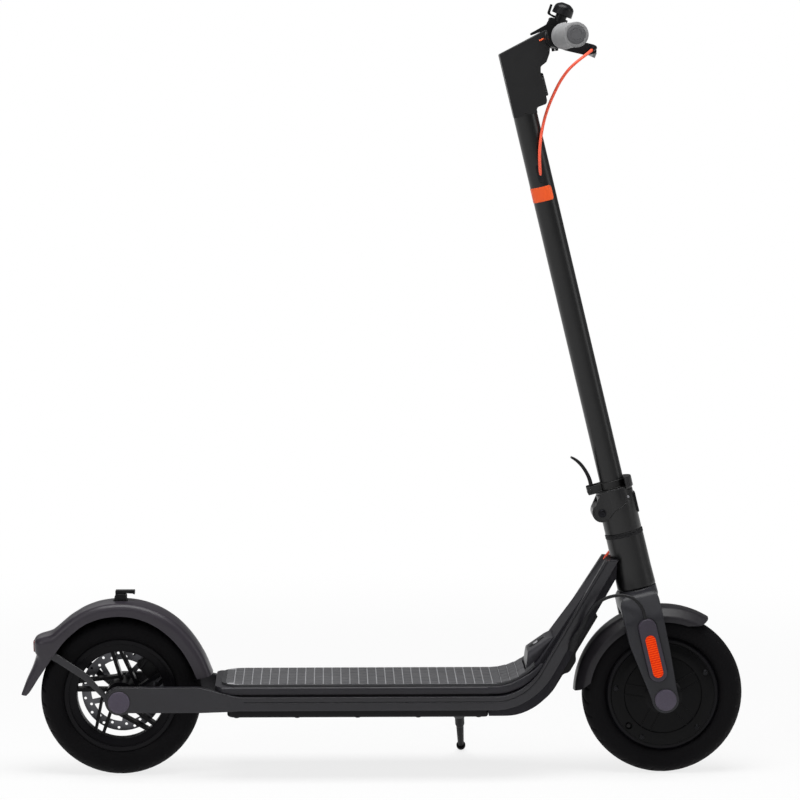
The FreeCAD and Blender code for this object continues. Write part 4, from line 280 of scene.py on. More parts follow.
def spline(points: Points, each: int, closed: bool = False) -> Array:
    """Carry a smooth line through points.

    Args:
        points: the points it passes.
        each: samples per span.
        closed: True for a loop.

    Returns:
        Samples of the Catmull-Rom cubic, whose slope at a point is half the chord across it.
    """
    p = np.asarray(points, float)
    if closed:
        p = np.concatenate([p[-1:], p, p[:2]])
    else:
        p = np.concatenate([2 * p[:1] - p[1:2], p, 2 * p[-1:] - p[-2:-1]])
    t = np.linspace(0, 1, each, endpoint=False)[None, :, None]
    a, b, c, d = (p[i:len(p) - 3 + i, None] for i in range(4))
    line = 0.5 * (2 * b + (c - a) * t + (2 * a - 5 * b + 4 * c - d) * t ** 2
                  + (3 * b - a - 3 * c + d) * t ** 3)
    line = line.reshape(-1, p.shape[1])
    return line if closed else np.concatenate([line, p[-2:-1]])


def pipe(centres: Array, radius: Union[float, Array], steps: int) -> Array:
    """Carry a circle along a line.

    Args:
        centres: the line's points, in order.
        radius: the circle's radius, or one radius for each point.
        steps: points round the circle.

    Returns:
        A grid: centre + radius (cos a side + sin a top), with side and top square to the line,
        and a pole at each end.
    """
    centres = np.asarray(centres, float)
    run = unit(np.gradient(centres, axis=0))
    guide = np.eye(3)[np.argmin(np.abs(run).mean(0))]
    side = unit(np.cross(run, guide))
    top = np.cross(run, side)
    angle = round_turn(steps)[None, :, None]
    size = np.broadcast_to(np.asarray(radius, float), (len(centres),))[:, None, None]
    return capped(centres[:, None]
                  + size * (np.cos(angle) * side[:, None] + np.sin(angle) * top[:, None]))


def rounded(half_x: Array, half_y: Array, corner: Array, steps: int) -> Array:
    """Trace rounded rectangles: each corner's centre plus corner (cos a, sin a).

    Args:
        half_x: half sizes along x, any shape.
        half_y: half sizes along y.
        corner: corner radii.
        steps: points round each outline, a multiple of four.

    Returns:
        Outlines (..., steps, 2).
    """
    angle = (np.arange(steps) + 0.5) * 2 * math.pi / steps
    c, s = np.cos(angle), np.sin(angle)
    sizes = np.broadcast_arrays(half_x, half_y, corner)
    hx, hy, r = (np.asarray(v, float)[..., None] for v in sizes)
    return np.stack([np.sign(c) * (hx - r) + r * c, np.sign(s) * (hy - r) + r * s], -1)


def pads(half_x: Array, half_y: Array, corner: float, height: float, edge: float,
         steps: int = 16, turns: int = 3) -> Array:
    """Raise rounded rectangles into pads with a rolled upper edge.

    Args:
        half_x: half sizes along x, one for each pad.
        half_y: half sizes along y.
        corner: radius of the corners.
        height: how far the pads stand up.
        edge: radius of the rolled edge.
        steps: points round a pad.
        turns: rows over the rolled edge.

    Returns:
        Grids (pad, row, column, 3): a quarter circle at the rim, closed by a pole on each face.
    """
    half_x, half_y = np.broadcast_arrays(np.atleast_1d(half_x), np.atleast_1d(half_y))
    bend = np.linspace(0, math.pi / 2, turns)
    inset = np.concatenate([[0.0], edge * (1 - np.cos(bend))])
    level = np.concatenate([[0.0], height - edge + edge * np.sin(bend)])
    outline = rounded(half_x[:, None] - inset, half_y[:, None] - inset,
                      np.maximum(corner - inset, corner * 0.2), steps)
    tall = np.broadcast_to(level[None, :, None, None], (*outline.shape[:-1], 1))
    rows = np.concatenate([outline, tall], -1)
    low = np.zeros_like(rows[:, :1])
    high = low + np.array([0, 0, height])
    return np.concatenate([low, rows, high], 1)


def screw(place: Frame, radius: float, height: float, socket: float) -> Array:
    """Shape a button-head screw with a hexagon socket.

    Args:
        place: its seat, with up out of the head.
        radius: the head's radius.
        height: the head's height.
        socket: half the socket's width across flats.

    Returns:
        A grid: a dome of rows (R cos b, H sin b), then the socket, whose radius is
        s / cos of the angle from the nearest flat, down to a pole.
    """
    angle = round_turn(24)
    flat = socket / np.cos((angle + math.pi / 6) % (math.pi / 3) - math.pi / 6)
    last = 1.15
    bend = np.linspace(0, last, 6)
    dome = radius * np.cos(bend)[:, None] ** 0.7 + 0 * angle
    lip = np.minimum(flat, radius * 0.8)
    deep = height * 0.35
    rows = np.concatenate([[0 * angle], dome, [lip, lip * 0.96, 0 * angle]])
    rise = height * np.sin(bend) / math.sin(last)
    level = np.concatenate([[0], rise, [height, deep, deep * 0.7]])
    return turned(rows, level[:, None], angle, place)


# ------------------------------------------------------------------ shader maths
class Term:
    """A number socket that adds its own Math nodes when it is used in an expression."""

    def __init__(self, graph: "Graph", socket: bpy.types.NodeSocket) -> None:
        """Wrap an output socket of a graph's node."""
        self.graph = graph
        self.socket = socket

    def apply(self, operation: str, *values: Any) -> "Term":
        """Add one Math node on these values and give its result."""
        made = self.graph.node("ShaderNodeMath", {"operation": operation}, dict(enumerate(values)))
        return Term(self.graph, made.outputs[0])

    def __add__(self, other: Any) -> "Term":
        """self + other."""
        return self.apply("ADD", self, other)

    __radd__ = __add__

    def __sub__(self, other: Any) -> "Term":
        """self - other."""
        return self.apply("SUBTRACT", self, other)

    def __rsub__(self, other: Any) -> "Term":
        """other - self."""
        return self.apply("SUBTRACT", other, self)

    def __mul__(self, other: Any) -> "Term":
        """self * other."""
        return self.apply("MULTIPLY", self, other)

    __rmul__ = __mul__

    def __pow__(self, other: Any) -> "Term":
        """self to a power."""
        return self.apply("POWER", self, other)

    def sine(self) -> "Term":
        """Sine of the value in radians."""
        return self.apply("SINE", self)

    def larger(self, other: Any) -> "Term":
        """The larger of two values."""
        return self.apply("MAXIMUM", self, other)

    def smooth(self, low: float, high: float) -> "Term":
        """Rise smoothly from 0 to 1.

        Args:
            low: where the rise starts.
            high: where it ends.

        Returns:
            The result: 3t^2 - 2t^3 of the clamped share t.
        """
        made = self.graph.node(
            "ShaderNodeMapRange", {"interpolation_type": "SMOOTHSTEP"},
            {"Value": self, "From Min": low, "From Max": high})
        return Term(self.graph, made.outputs[0])


class Graph:
    """The node tree of one material or world."""

    def __init__(self, owner: Union[bpy.types.Material, bpy.types.World]) -> None:
        """Start an empty tree in its owner."""
        owner.use_nodes = True
        self.owner = owner
        self.tree = owner.node_tree
        self.tree.nodes.clear()
        self.object_place: Optional[bpy.types.NodeSocket] = None

    def node(self, kind: str, settings: Optional[Dict[str, Any]] = None,
             sockets: Optional[Dict[Any, Any]] = None) -> bpy.types.Node:
        """Add a node.

        Args:
            kind: the node's type name.
            settings: its properties, set first.
            sockets: values, sockets or terms for its inputs, by name or number.

        Returns:
            The node.
        """
        made = self.tree.nodes.new(kind)
        for key, value in (settings or {}).items():
            setattr(made, key, value)
        for key, value in (sockets or {}).items():
            source = value.socket if isinstance(value, Term) else value
            if isinstance(source, bpy.types.NodeSocket):
                self.tree.links.new(source, made.inputs[key])
            elif isinstance(source, tuple) and len(source) == 3 and made.inputs[key].type == "RGBA":
                made.inputs[key].default_value = (*source, 1.0)
            else:
                made.inputs[key].default_value = source
        return made

    def place(self) -> bpy.types.NodeSocket:
        """Give the piece's own coordinates, in metres."""
        if self.object_place is None:
            self.object_place = self.node("ShaderNodeTexCoord").outputs["Object"]
        return self.object_place

    def seen_from(self, centre: Frame, turn: Point = (0, 0, 0)) -> bpy.types.NodeSocket:
        """Measure the place from a frame's origin.

        Args:
            centre: the frame.
            turn: Euler angles by which the result is turned.

        Returns:
            The place, in metres.
        """
        moved = self.node("ShaderNodeVectorMath", {"operation": "SUBTRACT"},
                          {0: self.place(), 1: tuple(c * MM for c in centre.origin)})
        return self.node("ShaderNodeMapping", {"vector_type": "POINT"},
                         {"Vector": moved.outputs[0], "Rotation": turn}).outputs[0]

    def parts(self, vector: bpy.types.NodeSocket) -> Tuple[Term, Term, Term]:
        """Split a vector into its three numbers."""
        made = self.node("ShaderNodeSeparateXYZ", None, {0: vector})
        return tuple(Term(self, out) for out in made.outputs)

    def joined(self, x: Any, y: Any, z: Any) -> bpy.types.NodeSocket:
        """Join three numbers into a vector."""
        return self.node("ShaderNodeCombineXYZ", None, {0: x, 1: y, 2: z}).outputs[0]

    def noise(self, scale: float, detail: float = 2.0, vector: Any = None) -> Term:
        """Add smooth noise.

        Args:
            scale: features per metre.
            detail: octaves on top of the first.
            vector: where it is read, if not at the piece's own coordinates.

        Returns:
            Noise of about 0.5.
        """
        made = self.node("ShaderNodeTexNoise", None, {
            "Vector": self.place() if vector is None else vector,
            "Scale": scale, "Detail": detail, "Roughness": 0.55})
        return Term(self, made.outputs[0])

    def cells(self, scale: float) -> Term:
        """Scatter points over the piece.

        Args:
            scale: points per metre.

        Returns:
            The distance to the nearest one.
        """
        made = self.node("ShaderNodeTexVoronoi", {"feature": "SMOOTH_F1"}, {
            "Vector": self.place(), "Scale": scale, "Smoothness": 0.4})
        return Term(self, made.outputs["Distance"])

    def blend(self, share: Any, first: Any, second: Any) -> bpy.types.NodeSocket:
        """Mix two colours.

        Args:
            share: share of the second one.
            first: a colour or a colour socket.
            second: another.

        Returns:
            The mixed colour.
        """
        made = self.node("ShaderNodeMix", {"data_type": "RGBA", "clamp_factor": True},
                         {0: share, 6: first, 7: second})
        return made.outputs[2]


class Grain(Enum):
    """What breaks up a surface close to."""

    POWDER = "powder coat"
    MOULDED = "moulded plastic"
    RUBBER = "rubber"
    CAST = "cast metal"
    TURNED = "turned about an axle"
    GLOSS = "polished"
    RIBBED = "ribbed lens"
    PRISM = "prismatic reflector"
    SLEEVE = "extruded jacket"
    STACKED = "stacked sheets"


@dataclass(frozen=True)
class Patch:
    """A box of a frame in which one finish shows another colour."""

    centre: Frame
    low: Point
    high: Point
    colour: str
    edge: float = 0.25

    def share(self, g: Graph) -> Term:
        """Tell the inside of the box from the outside.

        Args:
            g: the material's graph.

        Returns:
            1 inside and 0 outside: for each axis a smooth rise times a smooth fall.
        """
        moved = g.node("ShaderNodeVectorMath", {"operation": "SUBTRACT"},
                       {0: g.place(), 1: tuple(c * MM for c in self.centre.origin)})
        inside: Any = 1.0
        axes = (self.centre.along, self.centre.across, self.centre.up)
        for axis, low, high in zip(axes, self.low, self.high):
            dot = g.node("ShaderNodeVectorMath", {"operation": "DOT_PRODUCT"},
                         {0: moved.outputs[0], 1: tuple(float(c) for c in axis)})
            run = Term(g, dot.outputs["Value"])
            rise = run.smooth((low - self.edge) * MM, (low + self.edge) * MM)
            fall = run.smooth((high - self.edge) * MM, (high + self.edge) * MM)
            inside = rise * (1.0 - fall) * inside
        return inside


@dataclass(frozen=True)
class Finish:
    """A finish: two close colours, a gloss and a grain.

    The grain gives a height in metres, which a Bump node turns into the normal, and a share
    that mixes the two colours and shifts the roughness.
    """

    name: str
    colour: str
    other: str
    roughness: float
    grain: Grain = Grain.MOULDED
    spread: float = 0.1
    depth: float = 1.0
    metallic: float = 0.0
    coat: float = 0.0
    specular: float = 0.28
    edge: float = 0.0
    centre: Frame = WORLD
    # glow: emission strength in the finish's own colour; it lightens parts that are no lamp, a
    # painted glow
    glow: float = 0.0
    patch: Optional[Patch] = None

    def relief(self, g: Graph) -> Tuple[Term, Term]:
        """Give the grain's height in metres and the share of the second colour.

        Args:
            g: the material's graph.

        Returns:
            The height and the share, as terms.
        """
        broad = g.noise(9.0, 3.0).smooth(0.35, 0.68)
        fine = g.noise(420.0, 2.0)
        if self.grain is Grain.POWDER:
            peel = g.noise(650.0, 2.0) * 1.6e-5 + g.noise(1900.0, 1.0) * 5e-6
            return peel, broad * 0.7 + fine.smooth(0.4, 0.7) * 0.3
        if self.grain is Grain.MOULDED:
            spark = g.cells(1100.0) * 2.6e-5 + g.noise(300.0, 2.0) * 1.2e-5
            return spark, broad * 0.6 + fine.smooth(0.35, 0.75) * 0.4
        if self.grain is Grain.RUBBER:
            skin_height = g.noise(900.0, 3.0) * 3e-5 + g.noise(120.0, 2.0) * 3e-5
            dust = g.noise(60.0, 5.0).smooth(0.45, 0.75)
            return skin_height, broad * 0.5 + dust * 0.5
        if self.grain is Grain.CAST:
            pits = g.noise(500.0, 4.0) * 4e-5 + g.cells(260.0) * 2e-5
            return pits, broad * 0.5 + fine * 0.5
        if self.grain is Grain.TURNED:
            x, _, z = g.parts(g.seen_from(self.centre))
            radius = (x * x + z * z) ** 0.5
            rings = g.noise(1.0, 3.0, g.joined(radius * 2600.0, 0.0, 0.0))
            arcs = g.noise(1.0, 2.0, g.joined(radius * 700.0, x * 12.0, z * 12.0))
            return rings * 1.2e-5 + arcs * 1e-5, rings.smooth(0.3, 0.7) * 0.5 + arcs * 0.5
        if self.grain is Grain.RIBBED:
            _, y, z = g.parts(g.place())
            ribs = (y * 2600.0).sine() * 8e-5 + (z * 1700.0).sine() * 4e-5
            return ribs, (y * 2600.0).sine().smooth(-0.6, 0.9) * 0.7 + broad * 0.3
        if self.grain is Grain.PRISM:
            x, _, z = g.parts(g.seen_from(self.centre, (0.0, LEAN, 0.0)))
            first = (x * 1500.0 + z * 870.0).sine()
            second = (x * 1500.0 - z * 870.0).sine()
            cube = first * second
            # The share gives the crossing crests the lighter second colour: a painted glint of the
            # prisms; the height is their relief.
            return cube * 1e-4, cube.smooth(-0.25, 0.6)
        if self.grain is Grain.SLEEVE:
            return g.noise(300.0, 2.0) * 1e-5, broad * 0.7 + g.noise(90.0, 3.0) * 0.3
        if self.grain is Grain.STACKED:
            _, y, _ = g.parts(g.place())
            sheets = (y * 9000.0).sine()
            return sheets * 5e-5, sheets.smooth(-0.8, 0.8)
        return g.noise(140.0, 1.0) * 2e-6, broad

    def make(self) -> bpy.types.Material:
        """Build the material.

        Returns:
            A Principled material whose colour, roughness and normal vary with the grain.
        """
        g = Graph(bpy.data.materials.new(self.name))
        height, share = self.relief(g)
        colour = g.blend(share, tone(self.colour), tone(self.other))
        if self.patch is not None:
            colour = g.blend(self.patch.share(g), colour, tone(self.patch.colour))
        rough = share * self.spread + (self.roughness - self.spread / 2)
        bump_inputs: Dict[str, Any] = {"Height": height * self.depth, "Distance": 1.0,
                                       "Strength": 1.0}
        if self.edge > 0:
            bevel = g.node("ShaderNodeBevel", {"samples": 6}, {"Radius": self.edge * MM})
            bump_inputs["Normal"] = bevel.outputs[0]
        bump = g.node("ShaderNodeBump", None, bump_inputs)
        inputs: Dict[str, Any] = {
            "Base Color": colour, "Roughness": rough, "Normal": bump.outputs[0],
            "Metallic": self.metallic, "Coat Weight": self.coat, "Coat Roughness": 0.06,
            "Specular IOR Level": self.specular,
        }
        # Emission on a part that is no lamp: painted glow that lightens it.
        if self.glow > 0:
            inputs["Emission Color"] = colour
            inputs["Emission Strength"] = self.glow
        shader = g.node("ShaderNodeBsdfPrincipled", None, inputs)
        g.node("ShaderNodeOutputMaterial", None, {"Surface": shader.outputs[0]})
        return g.owner


class Finishes:
    """All finishes of the scooter, each made once."""

    frame_paint = Finish("frame_paint", "201f23", "27262b", 0.36, Grain.POWDER, 0.08, depth=0.3,
                         specular=0.42, edge=3.4)
    neck_paint = Finish("neck_paint", "29282c", "302f33", 0.6, Grain.POWDER, specular=0.08,
                        edge=2.4)
    fork_paint = Finish("fork_paint", "26262a", "2e2e32", 0.4, Grain.POWDER, edge=3.6)
    mast_paint = Finish("mast_paint", "0d0d0e", "121213", 0.34, Grain.POWDER, 0.06, depth=0.5,
                        specular=0.42, edge=1.2)
    bracket_paint = Finish("bracket_paint", "141415", "19191a", 0.36, Grain.POWDER, 0.08,
                           specular=0.4, edge=1.2,
                           patch=Patch(MAST, (-22.0, -40.0, 337.9), (22.0, 40.0, 420.0), "020202"))
    head_paint = Finish("head_paint", "181819", "1e1e1f", 0.46, spread=0.08, edge=0.8)
    guard_plastic = Finish("guard_plastic", "2c282f", "332f36", 0.38, specular=0.4)
    # The front guard is the rear guard's plastic made darker: painted shade for its side at this
    # angle to the light.
    front_guard_shaded = Finish("front_guard_shaded", "1d1b1f", "242226", 0.4, specular=0.3)
    deck_paint = Finish("deck_paint", "27262a", "2e2d32", 0.38, Grain.POWDER, edge=1.6)
    belly_plastic = Finish("belly_plastic", "0e0d0f", "131215", 0.5, specular=0.2, edge=0.5)
    hump_plastic = Finish("hump_plastic", "2c2b2f", "333237", 0.4, edge=4.0)
    cap_plastic = Finish("cap_plastic", "4a4451", "534c5a", 0.5)
    pod_plastic = Finish("pod_plastic", "37323c", "403a45", 0.46)
    black_plastic = Finish("black_plastic", "0b0b0c", "111113", 0.4, specular=0.2, edge=0.5)
    lever_paint = Finish("lever_paint", "0e0d10", "141316", 0.34, Grain.POWDER, specular=0.24,
                         edge=0.6)
    stand_paint = Finish("stand_paint", "0a0a0b", "101011", 0.5, Grain.POWDER, specular=0.06)
    mat_rubber = Finish("mat_rubber", "98989b", "a6a6a9", 0.78, Grain.RUBBER)
    mat_sheet = Finish("mat_sheet", "39393b", "424244", 0.78, Grain.RUBBER,
                       patch=Patch(REAR_AXLE, (169.0, -72.6, 27.2), (592.0, 72.6, 60.0), "9d9da0"))
    pad_rubber = Finish("pad_rubber", "555557", "616163", 0.8, Grain.RUBBER, 0.12)
    grip_rubber = Finish("grip_rubber", "8a8a8b", "969697", 0.72, Grain.RUBBER)
    grip_end = Finish("grip_end", "5c5c5e", "666668", 0.7, Grain.RUBBER)
    tyre_rubber = Finish("tyre_rubber", "060507", "0b0a0d", 0.72, Grain.RUBBER, 0.16, specular=0.12)
    rim_paint = Finish("rim_paint", "09080b", "0f0e12", 0.34, Grain.POWDER, specular=0.12, edge=0.5)
    motor_paint = Finish("motor_paint", "060607", "0b0b0c", 0.34, Grain.POWDER, 0.12, specular=0.1,
                         edge=0.5)
    disc_steel = Finish("disc_steel", "56565a", "6e6e72", 0.34, Grain.TURNED, 0.14, metallic=1.0,
                        centre=REAR_AXLE)
    screw_steel = Finish("screw_steel", "1c1c1f", "28282b", 0.3, Grain.GLOSS, metallic=0.9)
    cover_steel = Finish("cover_steel", "1b1b1d", "29292b", 0.32, Grain.GLOSS, metallic=0.9)
    bright_steel = Finish("bright_steel", "8c8c90", "a2a2a6", 0.3, Grain.CAST, metallic=1.0)
    caliper_alloy = Finish("caliper_alloy", "151518", "1e1e21", 0.42, Grain.CAST, 0.12, edge=0.6)
    pad_lining = Finish("pad_lining", "3b3733", "4b4540", 0.85, Grain.CAST)
    battery_wrap = Finish("battery_wrap", "1d3f74", "24508c", 0.35, Grain.GLOSS)
    controller_case = Finish("controller_case", "6c6e72", "7c7e82", 0.4, Grain.CAST, metallic=0.9)
    winding = Finish("winding", "7a3f1c", "a35c2c", 0.4, Grain.STACKED, 0.15, metallic=0.8)
    magnet = Finish("magnet", "57575a", "6a6a6d", 0.35, Grain.CAST, metallic=0.9)
    tail_lens = Finish("tail_lens", "5c0606", "7a0b0b", 0.18, Grain.RIBBED, 0.06, coat=1.0)
    # The reflector's emission is painted glow, and the lighter colour on its prism crests is a
    # painted glint.
    reflector = Finish("reflector", "dc1c00", "ff5a10", 0.4, Grain.PRISM, specular=0.1, centre=MAST,
                       glow=0.12)
    lamp_lens = Finish("lamp_lens", "0b0c0e", "15171a", 0.1, Grain.RIBBED, 0.04, coat=1.0,
                       specular=0.5)
    display_glass = Finish("display_glass", "060608", "0b0b0f", 0.08, Grain.GLOSS, 0.03, coat=1.0,
                           specular=0.5)
    button_plastic = Finish("button_plastic", "1c1b1e", "262528", 0.35, spread=0.08)
    # The jacket's emission is painted glow: it lightens the cable's shaded underside.
    orange_jacket = Finish("orange_jacket", "f05a40", "f8684e", 0.4, Grain.SLEEVE, 0.08, glow=0.14)
    orange_band = Finish("orange_band", "fb5a24", "ff6a34", 0.42, Grain.SLEEVE, 0.08)
    black_jacket = Finish("black_jacket", "111113", "18181b", 0.45, Grain.SLEEVE, 0.08)
    # A light metallic colour for the oval on the charge cap: a painted highlight.
    silver_highlight = Finish("silver_highlight", "c4c4c8", "d6d6da", 0.3, Grain.TURNED, 0.08, metallic=0.7)
    soft_rubber = Finish("soft_rubber", "121214", "19191b", 0.68, Grain.RUBBER)

    _made: Dict[str, bpy.types.Material] = {}

    @classmethod
    def material(cls, finish: Finish) -> bpy.types.Material:
        """Give a finish's material, made at its first use.

        Args:
            finish: the finish.

        Returns:
            Its material.
        """
        if finish.name not in cls._made:
            cls._made[finish.name] = finish.make()
        return cls._made[finish.name]


# ------------------------------------------------------------------ sub-assemblies
@dataclass
class Assembly:
    """Base of every sub-assembly: it dresses its nodes and builds its new pieces."""

    body: str = "frame"

    def nodes(self) -> Dict[str, Finish]:
        """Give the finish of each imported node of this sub-assembly."""
        return {}

    def build(self) -> None:
        """Build the new pieces."""

    def run(self) -> None:
        """Dress the nodes, then build the pieces."""
        for node, finish in self.nodes().items():
            dress(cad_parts[node], finish)
            LOG.info("dressed %s with %s", node, finish.name)
        self.build()

    def keep(self, made: Object, finish: Finish, slot: str, replaces: Sequence[str] = ()) -> None:
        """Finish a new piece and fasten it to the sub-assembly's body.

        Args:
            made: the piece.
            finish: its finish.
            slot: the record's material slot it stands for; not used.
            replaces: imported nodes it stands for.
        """
        dress(made, finish)
        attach(made, self.body)
        if replaces:
            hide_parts(*replaces)
        LOG.info("built %s on %s", made.name, self.body)

    def add(self, name: str, grids: Sequence[Array], finish: Finish, slot: str,
            replaces: Sequence[str] = (), **shape: Any) -> None:
        """Make a piece from grids and keep it.

        Args:
            name: the piece's name.
            grids: its surfaces, as skin takes them.
            finish: its finish.
            slot: the record's material slot it stands for.
            replaces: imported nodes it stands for.
            shape: skin's closed and sharp, where they aren't the usual ones.
        """
        self.keep(skin(name, grids, **shape), finish, slot, replaces)

    def fasten(self, name: str, seats: Sequence[Frame], size: ScrewSize, finish: Finish) -> None:
        """Set equal screws on their seats, as one piece."""
        self.add(name, [screw(seat, *size) for seat in seats], finish, "steel")


def dress(made: Object, finish: Finish) -> None:
    """Give an object one finish on all of its faces."""
    made.data.materials.clear()
    made.data.materials.append(Finishes.material(finish))


def soften(node: str, angle: float = 28.0) -> None:
    """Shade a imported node's curved faces smooth: merged corners, split at sharp edges.

    Args:
        node: the node.
        angle: angle in degrees past which an edge is split.
    """
    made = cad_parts[node]
    made.data.polygons.foreach_set("use_smooth", np.ones(len(made.data.polygons), bool))
    weld = made.modifiers.new("weld", "WELD")
    weld.merge_threshold = MERGE * 5
    split = made.modifiers.new("split", "EDGE_SPLIT")
    split.split_angle = math.radians(angle)


@dataclass
class Wheel(Assembly):
    """A wheel's tyre with its cut tread, and its valve."""

    name: str = "rear"
    centre: Frame = REAR_AXLE
    tread_radius: float = 127.0
    half_width: float = 25.6
    grooves: int = 33
    groove_depth: float = 2.0
    centre_depth: float = 1.5
    groove_lean: float = 0.115
    wave: float = 1.6
    tread_from: float = 116.5
    tread_half: float = 22.0
    wall_rings: Sequence[float] = (96.5, 99.5, 113.0)
    ring_height: float = 0.35
    around: int = 594

    def tyre(self) -> None:
        """Build the tyre: a rounded section turned about the axle, with its tread cut in.

        The cut is the larger of a wavy middle groove, where |y - wave| is small, and of slanted
        shoulder grooves, where the angle less a slant in |y| is near a multiple of the pitch.
        The walls carry low rings, each a bell curve exp(-(d / 0.7)^2) of the distance d from it.
        """
        outer = [(90.0, 17.0), (94.0, 21.5), (101.0, 24.6), (109.0, 25.6), (116.0, 24.3),
                 (121.5, 20.2), (125.2, 14.0), (126.8, 7.0)]
        inner = [(118.5, 9.0), (113.0, 17.5), (105.0, 20.5), (97.0, 17.5), (90.0, 12.0)]
        loop = outer + [(127.0, 0.0)] + [(r, -y) for r, y in reversed(outer)]
        loop += [(r, -y) for r, y in reversed(inner)] + [(119.5, 0.0)] + inner
        section = spline(loop, 4, closed=True)
        radius, y = section[:, 0][:, None], section[:, 1][:, None]
        angle = round_turn(self.around)[None, :]
        tread = step(radius, self.tread_from, self.tread_from + 3.0)
        tread = tread * (1 - step(np.abs(y), self.tread_half, self.tread_half + 2.5))
        wave = self.wave * np.sin(self.grooves * angle)
        middle = 1 - step(np.abs(y - wave), 0.9, 2.1)
        pitch = 2 * math.pi / self.grooves
        lean = self.groove_lean * step(np.abs(y), 4.0, 24.0) + np.where(y > 0, 0.0, pitch / 2)
        off = np.abs((angle - lean + pitch / 2) % pitch - pitch / 2) * self.tread_radius
        shoulder = (1 - step(off, 1.1, 2.6)) * step(np.abs(y), 6.5, 8.5)
        cut = tread * np.maximum(self.centre_depth * middle, self.groove_depth * shoulder)
        rings = sum(np.exp(-((radius - r) / 0.7) ** 2) for r in self.wall_rings)
        wall = np.sign(y) * self.ring_height * rings * (np.abs(y) > 18.5) * (radius < 116)
        r = np.minimum(radius - cut, self.tread_radius)
        across = np.clip(y + wall, -self.half_width, self.half_width) + 0 * angle
        grid = self.centre.place(np.stack([r * np.cos(angle), across, r * np.sin(angle)], -1))
        self.add(f"{self.name}_tyre_tread", [grid], Finishes.tyre_rubber, "tyre",
                 replaces=[f"{self.name}_tyre"], closed=True, sharp=50)

    def valve(self, radius: float, y: float, degrees: float, direction: Sequence[float],
              reach: float) -> None:
        """Build the valve: a rubber stem and a ribbed cap.

        Args:
            radius: how far from the axle it starts.
            y: its place across the wheel.
            degrees: its angle about the axle.
            direction: the way it points, in (outward, across) shares.
            reach: its length.
        """
        turn = math.radians(degrees)
        out = np.array([math.cos(turn), 0.0, math.sin(turn)])
        seat = self.centre.at(*(out * radius + np.array([0, y, 0])))
        aim = out * direction[0] + np.array([0, direction[1], 0])
        place = seat.facing(aim, near=(-out[2], 0, out[0]))
        stem = revolved([(0, 0), (4.4, 0), (4.2, reach * 0.1), (3.2, reach * 0.28),
                         (2.9, reach * 0.6), (0, reach * 0.6)], 24, place)
        self.add(f"{self.name}_valve_stem", [stem], Finishes.soft_rubber, "soft_rubber")
        angle = round_turn(36)
        ribs = 1 + 0.05 * np.cos(12 * angle)
        rows = np.array([(0, 0.55), (2.9, 0.55), (3.1, 0.6), (3.1, 0.94), (2.4, 1.0), (0, 1.0)])
        size = rows[:, :1] * np.where(rows[:, :1] > 2.95, ribs[None], 1.0)
        cap = turned(size, rows[:, 1:] * reach, angle, place)
        self.add(f"{self.name}_valve_cap", [cap], Finishes.black_plastic, "hard_plastic")


@dataclass
class RearWheel(Wheel):
    """Rear wheel: cast rim with spokes and leaning braces, and the drilled brake disc."""

    body: str = "rear_wheel"
    disc_face: float = 32.1
    bolt_circle: float = 19.0
    bolt: ScrewSize = (4.3, 2.6, 1.7)

    def nodes(self) -> Dict[str, Finish]:
        """Finishes of the rear wheel's nodes."""
        return {"rear_tyre": Finishes.tyre_rubber, "rear_rim": Finishes.rim_paint,
                "rear_bearings": Finishes.bright_steel, "brake_disc": Finishes.disc_steel}

    def build(self) -> None:
        """Build tyre, valve and the disc's bolts."""
        self.tyre()
        self.valve(radius=71.0, y=0.0, degrees=54.0, direction=(-1.0, 0.0), reach=22.0)
        r = self.bolt_circle
        seats = [self.centre.beside(Side.LEFT, r * math.cos(a), self.disc_face, -r * math.sin(a))
                 for a in round_turn(5)]
        self.fasten("disc_bolts", seats, self.bolt, Finishes.screw_steel)


@dataclass
class FrontWheel(Wheel):
    """Front wheel: the hub motor's shell and covers, with their screws."""

    body: str = "front_wheel"
    name: str = "front"
    centre: Frame = FRONT_AXLE
    screw_circle: float = 75.5
    screw_first: float = 28.0
    screw_face: float = 24.7
    cover_screw: ScrewSize = (4.6, 2.4, 1.8)

    def nodes(self) -> Dict[str, Finish]:
        """Finishes of the front wheel's nodes."""
        return {"front_tyre": Finishes.tyre_rubber, "motor_shell": Finishes.rim_paint,
                "motor_covers": Finishes.motor_paint, "motor_magnets": Finishes.magnet,
                "motor_bearings": Finishes.bright_steel}

    def build(self) -> None:
        """Build tyre, valve and the cover's screws on both sides."""
        self.tyre()
        self.valve(radius=73.5, y=-16.5, degrees=222.5, direction=(0.0, -1.0), reach=9.5)
        r = self.screw_circle
        seats = [self.centre.beside(side, r * math.cos(a), self.screw_face, r * math.sin(a))
                 for a in math.radians(self.screw_first) + round_turn(5) for side in Side]
        self.fasten("motor_cover_screws", seats, self.cover_screw, Finishes.cover_steel)


